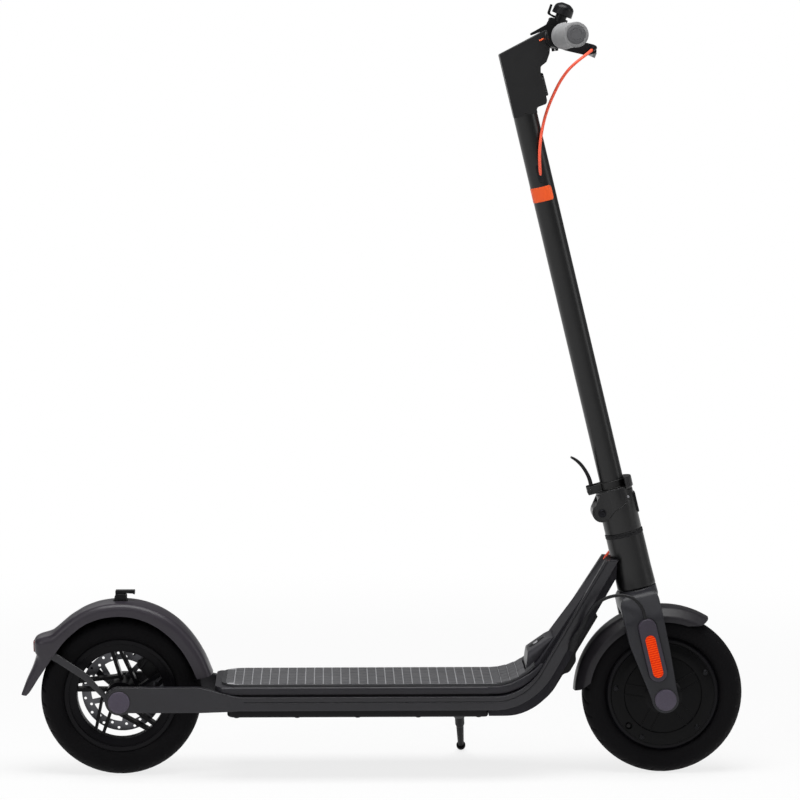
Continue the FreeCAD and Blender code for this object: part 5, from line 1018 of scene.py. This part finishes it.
@dataclass
class Deck(Assembly):
    """Deck between the side rails: shell, mat, belly cover and what is in the bay."""

    pitch: float = 14.0
    gap: float = 1.7
    columns: int = 6
    pad_height: float = 0.9
    mat_rear: float = 160.0
    mat_corner: float = 34.0
    mat_first: float = 166.0
    mat_last: float = 668.0
    mat_taper: float = 13.0
    taper_from: float = 596.0
    bricks: Tuple[float, float] = (330.0, 440.0)
    hump_from: float = 640.0
    hump_half: float = 42.5
    bend_start: float = 585.7
    bend_radius: float = 90.0
    mat_top: float = 154.5
    mat_half: float = 75.0
    margin: float = 3.0
    belly: float = 100.95
    screw_first: float = 184.0
    screw_pitch: float = 95.0
    screw_row: float = 68.0
    belly_screw: ScrewSize = (3.8, 0.6, 1.3)
    trim_from: float = 578.0
    trim_to: float = 668.0
    trim_wide: float = 3.4
    trim_tall: float = 6.4
    trim_drop: float = 10.2

    def nodes(self) -> Dict[str, Finish]:
        """Finishes of the deck's nodes."""
        return {
            "side_rails": Finishes.frame_paint, "deck_shell": Finishes.deck_paint,
            "bottom_cover": Finishes.belly_plastic, "footboard_mat": Finishes.mat_sheet,
            "battery_pack": Finishes.battery_wrap, "motor_controller": Finishes.controller_case,
            "kickstand_bracket": Finishes.caliper_alloy,
        }

    def on_mat(self, points: Array) -> Array:
        """Carry flat pads onto the mat.

        Args:
            points: (length along the mat from the rear axle, across, height above the mat).

        Returns:
            Places in mm: level up to the bend, then round an arc of radius R, where the turn
            is the length past the bend divided by R.
        """
        run, y, h = points[..., 0], points[..., 1], points[..., 2]
        turn = np.maximum(run - self.bend_start, 0) / self.bend_radius
        radius = self.bend_radius - h
        x = np.where(turn > 0, self.bend_start + radius * np.sin(turn), run)
        z = np.where(turn > 0, self.mat_top + self.bend_radius - radius * np.cos(turn),
                     self.mat_top + h)
        return np.stack([x + REAR_AXLE.origin[0], y, z], -1)

    def half_at(self, run: Array) -> Array:
        """Give the half width that the pads may fill.

        Args:
            run: lengths along the mat from the rear axle.

        Returns:
            The mat's half width less a margin, a rear corner R - sqrt(R^2 - (R - d)^2) at the
            distance d from its end, and a smooth taper towards the front.
        """
        back = self.mat_corner
        rear = np.clip(run - self.mat_rear, 0, back)
        rear_cut = back - np.sqrt(back ** 2 - (back - rear) ** 2)
        front_cut = self.mat_taper * step(run, self.taper_from, self.mat_last)
        return self.mat_half - rear_cut - front_cut - self.margin

    def mat_pads(self) -> None:
        """Build the mat's raised pads: bands across the deck, each cut into blocks.

        Band i is centred half a pitch past first + pitch i. Outside the middle field every third
        band carries three long blocks; all others carry six. The bands of the middle field are
        laid like bricks, every other one shifted by half a block.
        """
        runs = np.arange(self.mat_first + self.pitch / 2, self.mat_last, self.pitch)
        centres: List[Tuple[float, float, float, float]] = []
        for i, run in enumerate(runs):
            at_corner = run < self.mat_rear + self.mat_corner
            half = float(self.half_at(np.array(run - self.pitch / 2 * at_corner)))
            brick = self.bricks[0] < run < self.bricks[1]
            count = self.columns if (i % 3 or brick) else 3
            wide = 2 * half / count
            edges = -half + wide * np.arange(count + 1)
            if brick and i % 2:
                edges = np.concatenate([[-half], edges[:-1] + wide / 2, [half]])
            for low, high in zip(edges[:-1], edges[1:]):
                blocked = run > self.hump_from and low < self.hump_half and high > -self.hump_half
                if high - low > 3.0 and not blocked:
                    centres.append((float(run), (low + high) / 2, (self.pitch - self.gap) / 2,
                                    (high - low - self.gap) / 2))
        table = np.array(centres)
        made = pads(table[:, 2], table[:, 3], 1.6, self.pad_height, 0.45, steps=16)
        made[..., :2] += table[:, None, None, :2]
        self.add("mat_blocks", [self.on_mat(made)], Finishes.pad_rubber, "soft_rubber")
        seams = runs[1:] - self.pitch / 2
        seams = seams[seams < self.hump_from]
        ribs = pads(0.35, self.half_at(seams), 0.3, self.pad_height * 0.85, 0.2)
        ribs[..., 0] += seams[:, None, None]
        self.add("mat_cross_ribs", [self.on_mat(ribs)], Finishes.mat_rubber, "soft_rubber")

    def edge_trims(self) -> None:
        """Build the deck's rounded edge where it follows the mat round the bend.

        Each trim is a bar of rounded section whose middle runs beside the mat's edge. Its height
        shrinks smoothly towards the front tip, and both ends close in a pole.
        """
        run = np.linspace(self.trim_from, self.trim_to, 40)
        tip = step(run, self.trim_to - 40.0, self.trim_to)
        ends = step(run, self.trim_to - 2.0, self.trim_to)
        tall = (self.trim_tall - 3.0 * tip) * (1 - 0.6 * ends)
        middle = self.half_at(run) + self.margin - 0.6
        outline = rounded(np.full(len(run), self.trim_wide), tall, 2.2 - 1.6 * ends, 32)
        grids = []
        for side in Side:
            y = side.value * (middle[:, None] + outline[..., 0])
            bar = np.stack([run[:, None] + 0 * y, y, outline[..., 1] - self.trim_drop], -1)
            grids.append(capped(self.on_mat(bar)))
        self.add("deck_edge_trims", grids, Finishes.deck_paint, "hard_plastic")

    def build(self) -> None:
        """Build the mat's pads, the deck's edge trims and the belly cover's screws."""
        self.mat_pads()
        self.edge_trims()
        runs = REAR_AXLE.origin[0] + self.screw_first + self.screw_pitch * np.arange(5)
        seats = [WORLD.at(x, side.value * self.screw_row, self.belly).facing((0, 0, -1))
                 for x in runs for side in Side]
        self.fasten("belly_screws", seats, self.belly_screw, Finishes.screw_steel)


@dataclass
class Neck(Assembly):
    """Neck, head tube and charge port, with the cables that pass there."""

    boot_points: Points = (
        (711.0, -52.0, 205.0), (713.5, -55.5, 214.0), (718.5, -57.5, 226.0), (727.0, -57.4, 240.0),
        (735.5, -57.0, 260.0))
    boot_radius: float = 6.6
    boot_taper: float = 3.2
    boot_ridges: int = 6
    ridge_height: float = 0.35
    stub_points: Points = (
        (766.0, 12.0, 338.0), (770.5, 12.5, 345.5), (775.5, 12.0, 352.0), (781.0, 10.0, 359.0))
    stub_radius: float = 2.1
    seal_low: float = 259.4
    seal_high: float = 266.1
    seal_radius: float = 30.35
    pin_circle: float = 3.2

    def nodes(self) -> Dict[str, Finish]:
        """Finishes of the neck's nodes."""
        return {
            "neck": Finishes.neck_paint, "head_tube": Finishes.mast_paint,
            "headset_bearings": Finishes.bright_steel, "neck_cover": Finishes.belly_plastic,
            "charge_housing": Finishes.hump_plastic, "charge_socket": Finishes.black_plastic,
        }

    def build(self) -> None:
        """Build the cable boot, the brake cable's end, the headset seal and the socket's pins."""
        ahead = np.array([REAR_AXLE.origin[0], 0, 0])
        line = spline(np.array(self.boot_points) + ahead, 8)
        share = np.linspace(0, 1, len(line))
        ridges = np.sin(2 * math.pi * self.boot_ridges * share) * (1 - step(share, 0.8, 1.0))
        size = self.boot_radius - self.boot_taper * step(share, 0.15, 1.0)
        size = size + self.ridge_height * ridges
        self.add("motor_cable_boot", [pipe(line, size, 28)], Finishes.soft_rubber, "soft_rubber")
        stub = spline(np.array(self.stub_points) + ahead, 8)
        self.add("brake_cable_end", [pipe(stub, self.stub_radius, 20)], Finishes.orange_jacket,
                 "orange")
        self.seal()
        profile = [(0, -11.8), (0.9, -11.8), (0.9, -7.0), (0.5, -6.4), (0, -6.3)]
        r = self.pin_circle
        pins = [revolved(profile, 16, PORT.at(r * math.cos(a), r * math.sin(a), 0.0))
                for a in round_turn(3)]
        self.add("socket_pins", pins, Finishes.bright_steel, "steel")

    def seal(self) -> None:
        """Build the headset's seal: a ring whose outside carries two V grooves."""
        low, high, r = self.seal_low, self.seal_high, self.seal_radius
        middle = (low + high) / 2
        grooves = [(r - deep, middle + h) for start in (-1.5, 0.9)
                   for deep, h in ((0.0, start), (0.9, start + 0.6), (0.0, start + 1.2))]
        ring = [(r - 5.0, low), (r - 0.5, low), (r, low + 0.5), *grooves, (r, high - 0.5),
                (r - 0.5, high), (r - 5.0, high), (r - 5.0, low)]
        self.add("headset_seal", [revolved(ring, 96, MAST)], Finishes.soft_rubber, "soft_rubber")


@dataclass
class ChargeCap(Assembly):
    """The charge port's hinged cap."""

    body: str = "charge_cap"
    # Size of the silver oval that stands for the cap's highlight: painted highlight.
    highlight_oval: PadSize = (4.4, 6.2, 4.3, 0.5, 0.3)

    def nodes(self) -> Dict[str, Finish]:
        """Finish of the cap."""
        return {"charge_cap": Finishes.soft_rubber}

    def build(self) -> None:
        """Build a light silver oval on the cap: a painted highlight where the cap shows a
        reflection.
        """
        oval = pads(*self.highlight_oval, steps=48, turns=4)
        self.add("cap_highlight_oval", [PORT.place(oval)], Finishes.silver_highlight, "steel")


@dataclass
class RearEnd(Assembly):
    """Rear mudguard drawn out into its tail, lamp, stays, axle and brake caliper."""

    thick: float = 2.6
    shoulder: float = 14.0
    crown: float = 2.0
    half: float = 37.0
    arc: Points = (
        (13.5, 149.5, 124.6), (26.0, 147.6, 122.2), (39.0, 147.6, 122.6), (52.0, 149.2, 124.2),
        (65.0, 150.4, 126.6), (78.0, 151.0, 128.6), (90.0, 151.0, 129.4), (102.0, 151.0, 129.7),
        (112.0, 150.2, 129.2), (119.0, 148.9, 128.2))
    tail_back: Points = (
        (-80.0, 125.2), (-88.0, 118.8), (-97.0, 111.0), (-103.0, 106.0), (-110.0, 101.3),
        (-121.0, 98.0), (-129.5, 95.4), (-135.0, 91.6), (-137.0, 85.0), (-137.3, 78.5),
        (-136.4, 72.0), (-133.6, 67.0), (-135.3, 59.0), (-140.6, 44.0), (-149.0, 25.6),
        (-154.4, 11.6), (-157.5, 3.0))
    tail_edge: Points = (
        (-68.5, 107.2), (-75.0, 101.8), (-82.0, 95.6), (-87.5, 89.8), (-93.0, 83.2),
        (-98.0, 76.4), (-101.5, 71.2), (-104.0, 67.6), (-107.0, 63.2), (-110.0, 58.8),
        (-113.0, 54.2), (-116.5, 49.0), (-121.0, 42.0), (-130.0, 28.5), (-139.0, 14.0),
        (-144.5, 6.0), (-149.5, 1.2))
    tail_half: Sequence[float] = (
        37.0, 37.0, 37.0, 37.0, 36.6, 36.0, 35.2, 34.4, 33.5, 32.5, 31.4, 30.2, 28.4, 26.2, 24.6,
        24.0, 23.6)
    lens: PadSize = (9.0, 17.5, 4.0, 2.6, 1.2)
    lens_at: Point = (-134.9, 0.0, 79.0)
    lens_way: Point = (-1.0, 0.0, -0.03)
    ear: PadSize = (9.5, 7.2, 6.0, 5.4, 0.8)
    foot: PadSize = (12.0, 12.8, 4.0, 4.4, 1.6)
    ear_half: float = 7.5
    ear_high: float = 154.6
    foot_high: float = 147.6
    pin_high: float = 157.5

    def nodes(self) -> Dict[str, Finish]:
        """Finishes of the rear end's nodes."""
        return {
            "rear_mudguard": Finishes.guard_plastic, "mudflap": Finishes.guard_plastic,
            "tail_lamp": Finishes.tail_lens, "mudguard_stays": Finishes.frame_paint,
            "rear_axle": Finishes.bright_steel, "rear_axle_caps": Finishes.cap_plastic,
            "brake_caliper": Finishes.caliper_alloy, "brake_pads": Finishes.pad_lining,
        }

    def stations(self) -> Tuple[Array, Array, Array]:
        """Carry smooth lines through the guard's sizes.

        Returns:
            The crown line and the edge line, as x and z from the axle, and the half widths.
        """
        turn, outer, inner = np.array(self.arc).T
        turn = np.radians(turn)
        ray = np.stack([np.cos(turn), np.sin(turn)], -1)
        crown = np.concatenate([ray * outer[:, None], np.array(self.tail_back)])
        edge = np.concatenate([ray * inner[:, None], np.array(self.tail_edge)])
        half = np.concatenate([np.full(len(turn), self.half), np.array(self.tail_half)])
        line = spline(np.concatenate([crown, edge, half[:, None]], 1), 6)
        return line[:, :2], line[:, 2:4], line[:, 4]

    def section(self, deep: Array, half: Array, inset: float) -> Tuple[Array, Array]:
        """Trace one side of the guard's section, from edge over the crown to edge.

        With a corner R, the wall runs from the depth L up to c + R, the corner is
        (half - R + R cos a, c + R (1 - sin a)), and the crown sinks by c (y / (half - R))^2.

        Args:
            deep: the depth L of the section at each station.
            half: its half width.
            inset: how far this side lies inside the outer skin.

        Returns:
            Places across and depths, one row for each station.
        """
        corner = np.minimum(self.shoulder, 0.5 * deep) - 0.8 * inset
        sink = self.crown * np.minimum(deep / 30.0, 1.0)
        bend = np.linspace(0, math.pi / 2, 9)[None]
        share = np.linspace(0, 1, 6)[None, :-1]
        deep, half, corner, sink = (v[:, None] for v in (deep, half - inset, corner, sink))
        wall = deep + (sink + inset + corner - deep) * share
        walls = np.concatenate([half + 0 * share, half - corner + corner * np.cos(bend)], 1)
        depth = np.concatenate([wall, inset + sink + corner * (1 - np.sin(bend))], 1)
        top = (half - corner) * np.linspace(1, 0, 8)[None, 1:]
        y = np.concatenate([walls, top], 1)
        w = np.concatenate([depth, inset + sink * (top / (half - corner)) ** 2], 1)
        return np.concatenate([y, -y[:, -2::-1]], 1), np.concatenate([w, w[:, -2::-1]], 1)

    def guard(self) -> None:
        """Build the guard and its tail as one double-walled shell, pinched at both ends."""
        crown, edge, half = self.stations()
        deep = np.linalg.norm(edge - crown, axis=1)
        way = unit(edge - crown)
        outer_y, outer_w = self.section(deep, half, 0.0)
        inner_y, inner_w = self.section(deep, half, self.thick)
        y = np.concatenate([outer_y, inner_y[:, ::-1]], 1)
        w = np.concatenate([outer_w, inner_w[:, ::-1]], 1)
        grid = np.stack([crown[:, :1] + way[:, :1] * w, y, crown[:, 1:] + way[:, 1:] * w], -1)
        middle = (grid + grid[:, ::-1]) / 2
        grid = np.concatenate([middle[:1], grid, middle[-1:]])
        self.add("rear_guard_shell", [REAR_AXLE.place(grid)], Finishes.guard_plastic,
                 "hard_plastic", replaces=["rear_mudguard", "mudflap"], sharp=50)

    def build(self) -> None:
        """Build the guard, its lamp, and the foot, ears and pin that hold the catch."""
        self.guard()
        seat = REAR_AXLE.at(*self.lens_at).facing(self.lens_way, near=(0, 0, 1))
        lens = pads(*self.lens, steps=40, turns=5)
        self.add("tail_lens", [seat.place(lens)], Finishes.tail_lens, "orange",
                 replaces=["tail_lamp"])
        ear, foot = (pads(*size, steps=40, turns=4) for size in (self.ear, self.foot))
        ears = [REAR_AXLE.beside(side, 0.0, self.ear_half, self.ear_high).place(ear)
                for side in Side]
        self.add("hook_ears", [*ears, REAR_AXLE.at(0.0, 0.0, self.foot_high).place(foot)],
                 Finishes.black_plastic, "hard_plastic")
        pin = revolved([(0, -8.0), (2.4, -8.0), (2.4, 8.0), (0, 8.0)], 20,
                       REAR_AXLE.beside(Side.LEFT, 0.0, 0.0, self.pin_high))
        self.add("hook_ear_pin", [pin], Finishes.screw_steel, "steel")


@dataclass
class SingleNode(Assembly):
    """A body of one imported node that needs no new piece."""

    node: str = ""
    finish: Finish = Finishes.black_plastic

    def nodes(self) -> Dict[str, Finish]:
        """Finish of the one node."""
        return {self.node: self.finish}


@dataclass
class Fork(Assembly):
    """Fork with its covers, reflectors, mudguard, motor axle and the hinge's base."""

    body: str = "fork"
    strip: PadSize = (16.5, 9.0, 3.0, 4.2, 1.2)
    strip_at: Point = (27.1, 0.0, 307.5)

    def nodes(self) -> Dict[str, Finish]:
        """Finishes of the fork's nodes."""
        return {
            "fork": Finishes.fork_paint, "fork_covers": Finishes.pod_plastic,
            "fork_reflectors": Finishes.reflector, "front_axle": Finishes.bright_steel,
            "motor_stator": Finishes.winding, "front_axle_caps": Finishes.cap_plastic,
            "front_mudguard": Finishes.front_guard_shaded, "fold_base": Finishes.mast_paint,
            "motor_cable": Finishes.black_jacket,
        }

    def build(self) -> None:
        """Build the lock strip on the hinge's base."""
        seat = MAST.at(*self.strip_at).facing((1, 0, 0), near=(0, 0, 1))
        strip = pads(*self.strip, steps=32, turns=5)
        self.add("lock_strip", [seat.place(strip)], Finishes.black_plastic, "hard_plastic")


@dataclass
class Stem(Assembly):
    """Folding stem: hinge bracket, tube, head, and what is fixed to them."""

    body: str = "stem"
    tube_radius: float = 19.0
    band_low: float = 804.0
    band_high: float = 827.0
    band_thick: float = 0.45
    band_from: float = 48.0
    grommet_high: float = 848.0
    grommet_turn: float = -88.0
    grommet_long: float = 15.0
    grommet_wide: float = 5.2
    grommet_sunk: float = 1.4
    grommet_dish: float = 0.55
    accent_points: Points = (
        (46.5, 24.2, 1048.9), (55.3, 24.3, 1050.5), (64.5, 24.2, 1050.4))
    accent_radius: float = 1.1
    pin_at: Point = (18.2, 30.0, 321.6)
    pin_head: ScrewSize = (1.9, 0.7, 0.8)
    hinge_at: Point = (-27.5, 28.9, 305.0)
    hinge_screw: ScrewSize = (5.6, 1.3, 2.4)

    def nodes(self) -> Dict[str, Finish]:
        """Finishes of the stem's nodes."""
        return {
            "hinge_pin": Finishes.screw_steel, "fold_bracket": Finishes.bracket_paint,
            "stem_tube": Finishes.mast_paint, "head_housing": Finishes.head_paint,
            "display_lens": Finishes.display_glass, "headlamp_lens": Finishes.lamp_lens,
        }

    def on_tube(self, around: Array, high: Array, out: Array) -> Array:
        """Wrap (angle in degrees from the front, height, distance out) round the stem."""
        return turned(self.tube_radius + out, high, np.radians(around), MAST)

    def band(self) -> None:
        """Build the orange band: a flat loop carried round the back of the stem.

        The loop's half height shrinks at both ends by c - sqrt(c^2 - (c - d)^2), the shape of
        a rounded corner c at a distance d from the end.
        """
        corner = 4.0
        start, stop = self.band_from, 360.0 - self.band_from
        around = np.linspace(start, stop, 90)
        per_degree = math.radians(1) * self.tube_radius
        near_end = np.minimum(around - start, stop - around) * per_degree
        left = corner - np.clip(near_end, 0, corner)
        drop = corner - np.sqrt(np.maximum(corner ** 2 - left ** 2, 0))
        half = (self.band_high - self.band_low) / 2 - drop
        middle = (self.band_high + self.band_low) / 2
        loop_h = np.array([-1.0, -1.0, -0.985, 0.985, 1.0, 1.0])
        loop_o = np.array([-0.3, 0.6, 1.0, 1.0, 0.6, -0.3]) * self.band_thick
        rows = self.on_tube(around[:, None], middle + half[:, None] * loop_h, loop_o)
        self.add("stem_band", [capped(rows)], Finishes.orange_band, "orange")

    def grommet(self) -> None:
        """Build the cable's grommet: an oval rubber cushion in the stem's slot, dished inside."""
        shape = pads(self.grommet_wide, self.grommet_long, self.grommet_wide - 0.1, 1.0, 0.9,
                     steps=48, turns=6)[0]
        rim = shape[1:-1]
        inner = rim[-1:] * np.array([[[0.8, 0.9, 1]], [[0.5, 0.8, 1]]])
        rows = np.concatenate([shape[:1], rim, inner, shape[-1:]])
        height = np.where(rows[..., 2] < 0.01, -self.grommet_sunk, rows[..., 2] + 0.2)
        height[-3:] -= self.grommet_dish
        degrees = self.grommet_turn + np.degrees(rows[..., 0] / self.tube_radius)
        cushion = self.on_tube(degrees, self.grommet_high + rows[..., 1], height)
        self.add("cable_grommet", [cushion], Finishes.soft_rubber, "soft_rubber")

    def accent(self) -> None:
        """Build the thin orange strip along each side of the head, under its top edge."""
        strips = []
        for side in Side:
            line = spline(np.array(self.accent_points) * (1, side.value, 1), 6)
            strips.append(MAST.place(pipe(line, self.accent_radius, 12)))
        self.add("head_accent", strips, Finishes.orange_band, "orange")

    def small_parts(self) -> None:
        """Build the pins of the hinge bracket and the screws in the hinge's pin."""
        pins = [MAST.beside(side, *self.pin_at) for side in Side]
        self.fasten("bracket_pins", pins, self.pin_head, Finishes.bright_steel)
        hinges = [MAST.beside(side, *self.hinge_at) for side in Side]
        self.fasten("hinge_screws", hinges, self.hinge_screw, Finishes.screw_steel)

    def build(self) -> None:
        """Build band, grommet, accent strips and screws."""
        self.band()
        self.grommet()
        self.accent()
        self.small_parts()


@dataclass
class Bar(Assembly):
    """Handlebar with its grips and fixed controls."""

    body: str = "stem"
    ahead: float = 67.7
    high: float = 1048.5
    sweep: float = math.radians(5.36)
    inner: float = 128.0
    half_length: float = 239.9
    bar_radius: float = 12.85
    perch_at: float = 80.0
    throttle_at: float = 82.0
    screw_out: Tuple[float, float] = (10.0, -14.5)
    screw_way: Point = (0.55, -0.83, 0.0)
    clamp_screw: ScrewSize = (2.8, 1.4, 1.1)
    ridges: int = 26
    ridge_twist: float = 0.42
    ridge_height: float = 0.55

    def nodes(self) -> Dict[str, Finish]:
        """Finishes of the bar's nodes."""
        return {
            "handlebar": Finishes.mast_paint, "grips": Finishes.grip_rubber,
            "throttle_body": Finishes.black_plastic, "brake_perch": Finishes.lever_paint,
            "bell_dome": Finishes.lever_paint,
        }

    def on_bar(self, side: Side) -> Frame:
        """Give the frame of one half of the bar: up runs outward along it."""
        run = (math.sin(self.sweep), side.value * math.cos(self.sweep), 0.0)
        return MAST.at(self.ahead, 0, self.high).facing(run, near=(1, 0, 0))

    def grips(self) -> None:
        """Build the grips: a turned profile whose skin waves in crossing ridges.

        The radius gains the smaller of |sin(k a + m h)| and |sin(k a - m h)|, times the ridge's
        height, on the holding part, with a the angle and h the length: raised diamonds.
        """
        length = self.half_length / math.cos(self.sweep) - self.inner
        bore = self.bar_radius
        profile = [
            (bore, 0.3), (17.5, 0.0), (19.9, 0.2), (20.5, 1.0), (20.5, 3.4), (19.8, 4.4),
            (18.6, 6.4), (17.8, 9.0), (17.3, 20.0), (17.5, 30.0), (18.1, 43.0), (18.4, 55.0),
            (18.2, 68.0), (17.8, 80.0), (17.5, 90.0), (17.6, 97.0), (18.8, length - 9.5),
            (19.2, length - 7.0), (19.2, length - 2.2), (18.4, length - 0.6), (17.0, length),
            (14.5, length), (14.2, length - 0.7), (0.0, length - 0.7),
        ]
        line = spline(profile[6:17], 14)
        bottom = [(0.0, length - 2.5), (bore, length - 2.5)]
        rows = np.concatenate([bottom, profile[:6], line, profile[17:]])
        angle = round_turn(144)
        r, h = rows[:, :1], rows[:, 1:]
        hold = step(h, 10.0, 14.0) * (1 - step(h, length - 20.0, length - 14.0))
        first, second = (np.abs(np.sin(self.ridges / 2 * angle + way * self.ridge_twist * h))
                         for way in (1, -1))
        relief = self.ridge_height * hold * np.minimum(first, second)
        size = r + relief * (r > 1)
        grids = []
        ends = []
        for side in Side:
            place = self.on_bar(side).at(0, 0, self.inner)
            grids.append(turned(size, h, angle, place))
            ends.append(revolved(
                [(0, length - 0.8), (13.9, length - 0.8), (13.9, length + 0.1),
                 (13.4, length + 0.35), (9.0, length + 0.35), (8.6, length - 0.1),
                 (8.2, length + 0.35), (0, length + 0.35)], 64, place))
        self.add("grip_sleeves", grids, Finishes.grip_rubber, "grip_rubber", replaces=["grips"])
        self.add("grip_ends", ends, Finishes.grip_end, "grip_rubber")

    def build(self) -> None:
        """Build the grips and the clamps' screws."""
        self.grips()
        clamps = ((Side.LEFT, self.perch_at), (Side.RIGHT, self.throttle_at))
        seats = [self.on_bar(side).at(*self.screw_out, along).facing(self.screw_way)
                 for side, along in clamps]
        self.fasten("clamp_screws", seats, self.clamp_screw, Finishes.screw_steel)


@dataclass
class Cables(Assembly):
    """The orange brake cable in front of the stem."""

    body: str = "stem"
    radius: float = 2.4
    route: Points = (
        (128.3, 58.3, 1014.0), (119.3, 44.3, 1010.2), (103.0, 34.0, 1004.0),
        (84.5, 27.5, 994.5), (67.5, 21.5, 980.5), (52.0, 14.0, 963.0),
        (37.5, 4.5, 944.5), (25.0, -7.0, 924.5), (14.5, -17.2, 902.0),
        (7.5, -22.0, 882.0), (3.0, -22.8, 862.0), (0.8, -18.6, 847.0),
        (0.0, -13.5, 837.5),
    )

    def build(self) -> None:
        """Build the cable as a NURBS curve along the route's points."""
        data = bpy.data.curves.new("brake_cable_jacket", "CURVE")
        data.dimensions = "3D"
        line = data.splines.new("NURBS")
        points = MAST.place(np.array(self.route)) * MM
        line.points.add(len(points) - 1)
        line.points.foreach_set(
            "co", np.concatenate([points, np.ones((len(points), 1))], 1).ravel())
        line.order_u = 3
        line.use_endpoint_u = True
        line.resolution_u = 10
        data.bevel_depth = self.radius * MM
        data.bevel_resolution = 6
        data.use_fill_caps = True
        made = linked("brake_cable_jacket", data)
        self.keep(made, Finishes.orange_jacket, "orange", replaces=["brake_cable"])


# ------------------------------------------------------------------ the studio
@dataclass(frozen=True)
class Lamp:
    """A rectangular soft lamp: its place, aim and size in metres, and its power in watts."""

    name: str
    place: Point
    aim: Point
    size: Tuple[float, float]
    power: float


@dataclass
class Studio:
    """Pale floor, soft lamps, a dim even world and the camera."""

    floor_half: float = 30.0
    white_from: float = 0.7
    white_to: float = 2.2
    white_near: float = 0.8
    eye: Point = (-0.083, -5.6, 1.17)
    aim: Point = (0.0287857, 0.0, 0.5945030)
    lens: float = 160.81
    world_light: float = 0.16
    lamps: Sequence[Lamp] = (
        Lamp("top", (0.0, -0.6, 3.4), (0.0, 0.0, 0.4), (3.0, 1.8), 112.0),
        Lamp("front", (-0.8, -4.2, 2.6), (0.0, 0.0, 0.5), (2.6, 1.6), 12.0),
        Lamp("front_left", (-3.2, -2.6, 2.2), (0.0, 0.0, 0.5), (1.2, 1.8), 22.0),
        Lamp("ahead", (3.6, -0.8, 1.8), (0.1, 0.0, 0.6), (1.2, 2.0), 16.0),
        Lamp("behind", (-1.5, 3.6, 2.2), (0.0, 0.0, 0.5), (2.0, 1.4), 8.0),
    )

    def floor(self) -> None:
        """Build the floor: pale, and white to the camera's own rays far from the scooter."""
        half = self.floor_half
        mesh = bpy.data.meshes.new("floor")
        mesh.from_pydata([(-half, -half, 0), (half, -half, 0), (half, half, 0), (-half, half, 0)],
                         [], [(0, 1, 2, 3)])
        made = linked("floor", mesh)
        g = Graph(bpy.data.materials.new("studio_floor"))
        x, y, _ = g.parts(g.place())
        radius = (x * x + y * y) ** 0.5
        rise = radius.smooth(self.white_from, self.white_to)
        far = rise * (1 - self.white_near) + self.white_near
        path = g.node("ShaderNodeLightPath")
        seen = Term(g, path.outputs["Is Camera Ray"]).larger(
            Term(g, path.outputs["Is Glossy Ray"])).larger(
            Term(g, path.outputs["Is Transmission Ray"]))
        pale = g.node("ShaderNodeBsdfDiffuse", None, {"Color": (0.9, 0.9, 0.9)})
        white = g.node("ShaderNodeEmission", None, {"Color": (1.0, 1.0, 1.0), "Strength": 1.0})
        mixed = g.node("ShaderNodeMixShader", None,
                       {0: far * seen, 1: pale.outputs[0], 2: white.outputs[0]})
        g.node("ShaderNodeOutputMaterial", None, {"Surface": mixed.outputs[0]})
        mesh.materials.append(g.owner)

    def world(self) -> None:
        """Make the world dim grey for light and white where the camera sees it."""
        world = bpy.data.worlds.new("studio")
        bpy.context.scene.world = world
        g = Graph(world)
        path = g.node("ShaderNodeLightPath")
        dim, white = (
            g.node("ShaderNodeBackground", None, {"Color": (1.0, 1.0, 1.0), "Strength": strength})
            for strength in (self.world_light, 1.0))
        mixed = g.node("ShaderNodeMixShader", None, {
            0: path.outputs["Is Camera Ray"], 1: dim.outputs[0], 2: white.outputs[0]})
        g.node("ShaderNodeOutputWorld", None, {"Surface": mixed.outputs[0]})

    def aimed(self, made: Object, place: Sequence[float], aim: Sequence[float]) -> None:
        """Set a lamp or the camera at a place and turn it towards its aim."""
        made.location = place
        made.rotation_euler = (Vector(aim) - Vector(place)).to_track_quat("-Z", "Y").to_euler()

    def lights(self) -> None:
        """Hang the area lamps, each turned towards its aim."""
        for lamp in self.lamps:
            data = bpy.data.lights.new(lamp.name, "AREA")
            data.shape = "RECTANGLE"
            data.size, data.size_y = lamp.size
            data.energy = lamp.power
            self.aimed(linked(lamp.name, data), lamp.place, lamp.aim)

    def camera(self) -> None:
        """Set the camera at a low side view with a long lens."""
        data = bpy.data.cameras.new("camera")
        data.lens = self.lens
        data.sensor_width = 36.0
        data.clip_end = 100.0
        made = linked("camera", data)
        self.aimed(made, self.eye, self.aim)
        bpy.context.scene.camera = made

    def run(self) -> None:
        """Build the whole studio and set the plain view transform."""
        self.floor()
        self.world()
        self.lights()
        self.camera()
        bpy.context.scene.view_settings.view_transform = "Standard"


def main() -> None:
    """Build every sub-assembly, then the studio."""
    logging.basicConfig(level=logging.INFO, format="%(name)s: %(message)s")
    singles = {
        "fender_hook": Finishes.black_plastic, "caliper_arm": Finishes.caliper_alloy,
        "kickstand_leg": Finishes.stand_paint, "latch_lever": Finishes.lever_paint,
        "throttle_lever": Finishes.black_plastic, "brake_lever": Finishes.lever_paint,
        "bell_lever": Finishes.black_plastic, "power_button": Finishes.button_plastic,
    }
    assemblies: List[Assembly] = [
        Deck(), Neck(), ChargeCap(), RearEnd(), RearWheel(), Fork(), FrontWheel(), Stem(), Bar(),
        Cables(), *(SingleNode(node, node, finish) for node, finish in singles.items()),
    ]
    for assembly in assemblies:
        assembly.run()
    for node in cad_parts:
        soften(node)
    Studio().run()


if __name__ == "__main__":
    main()
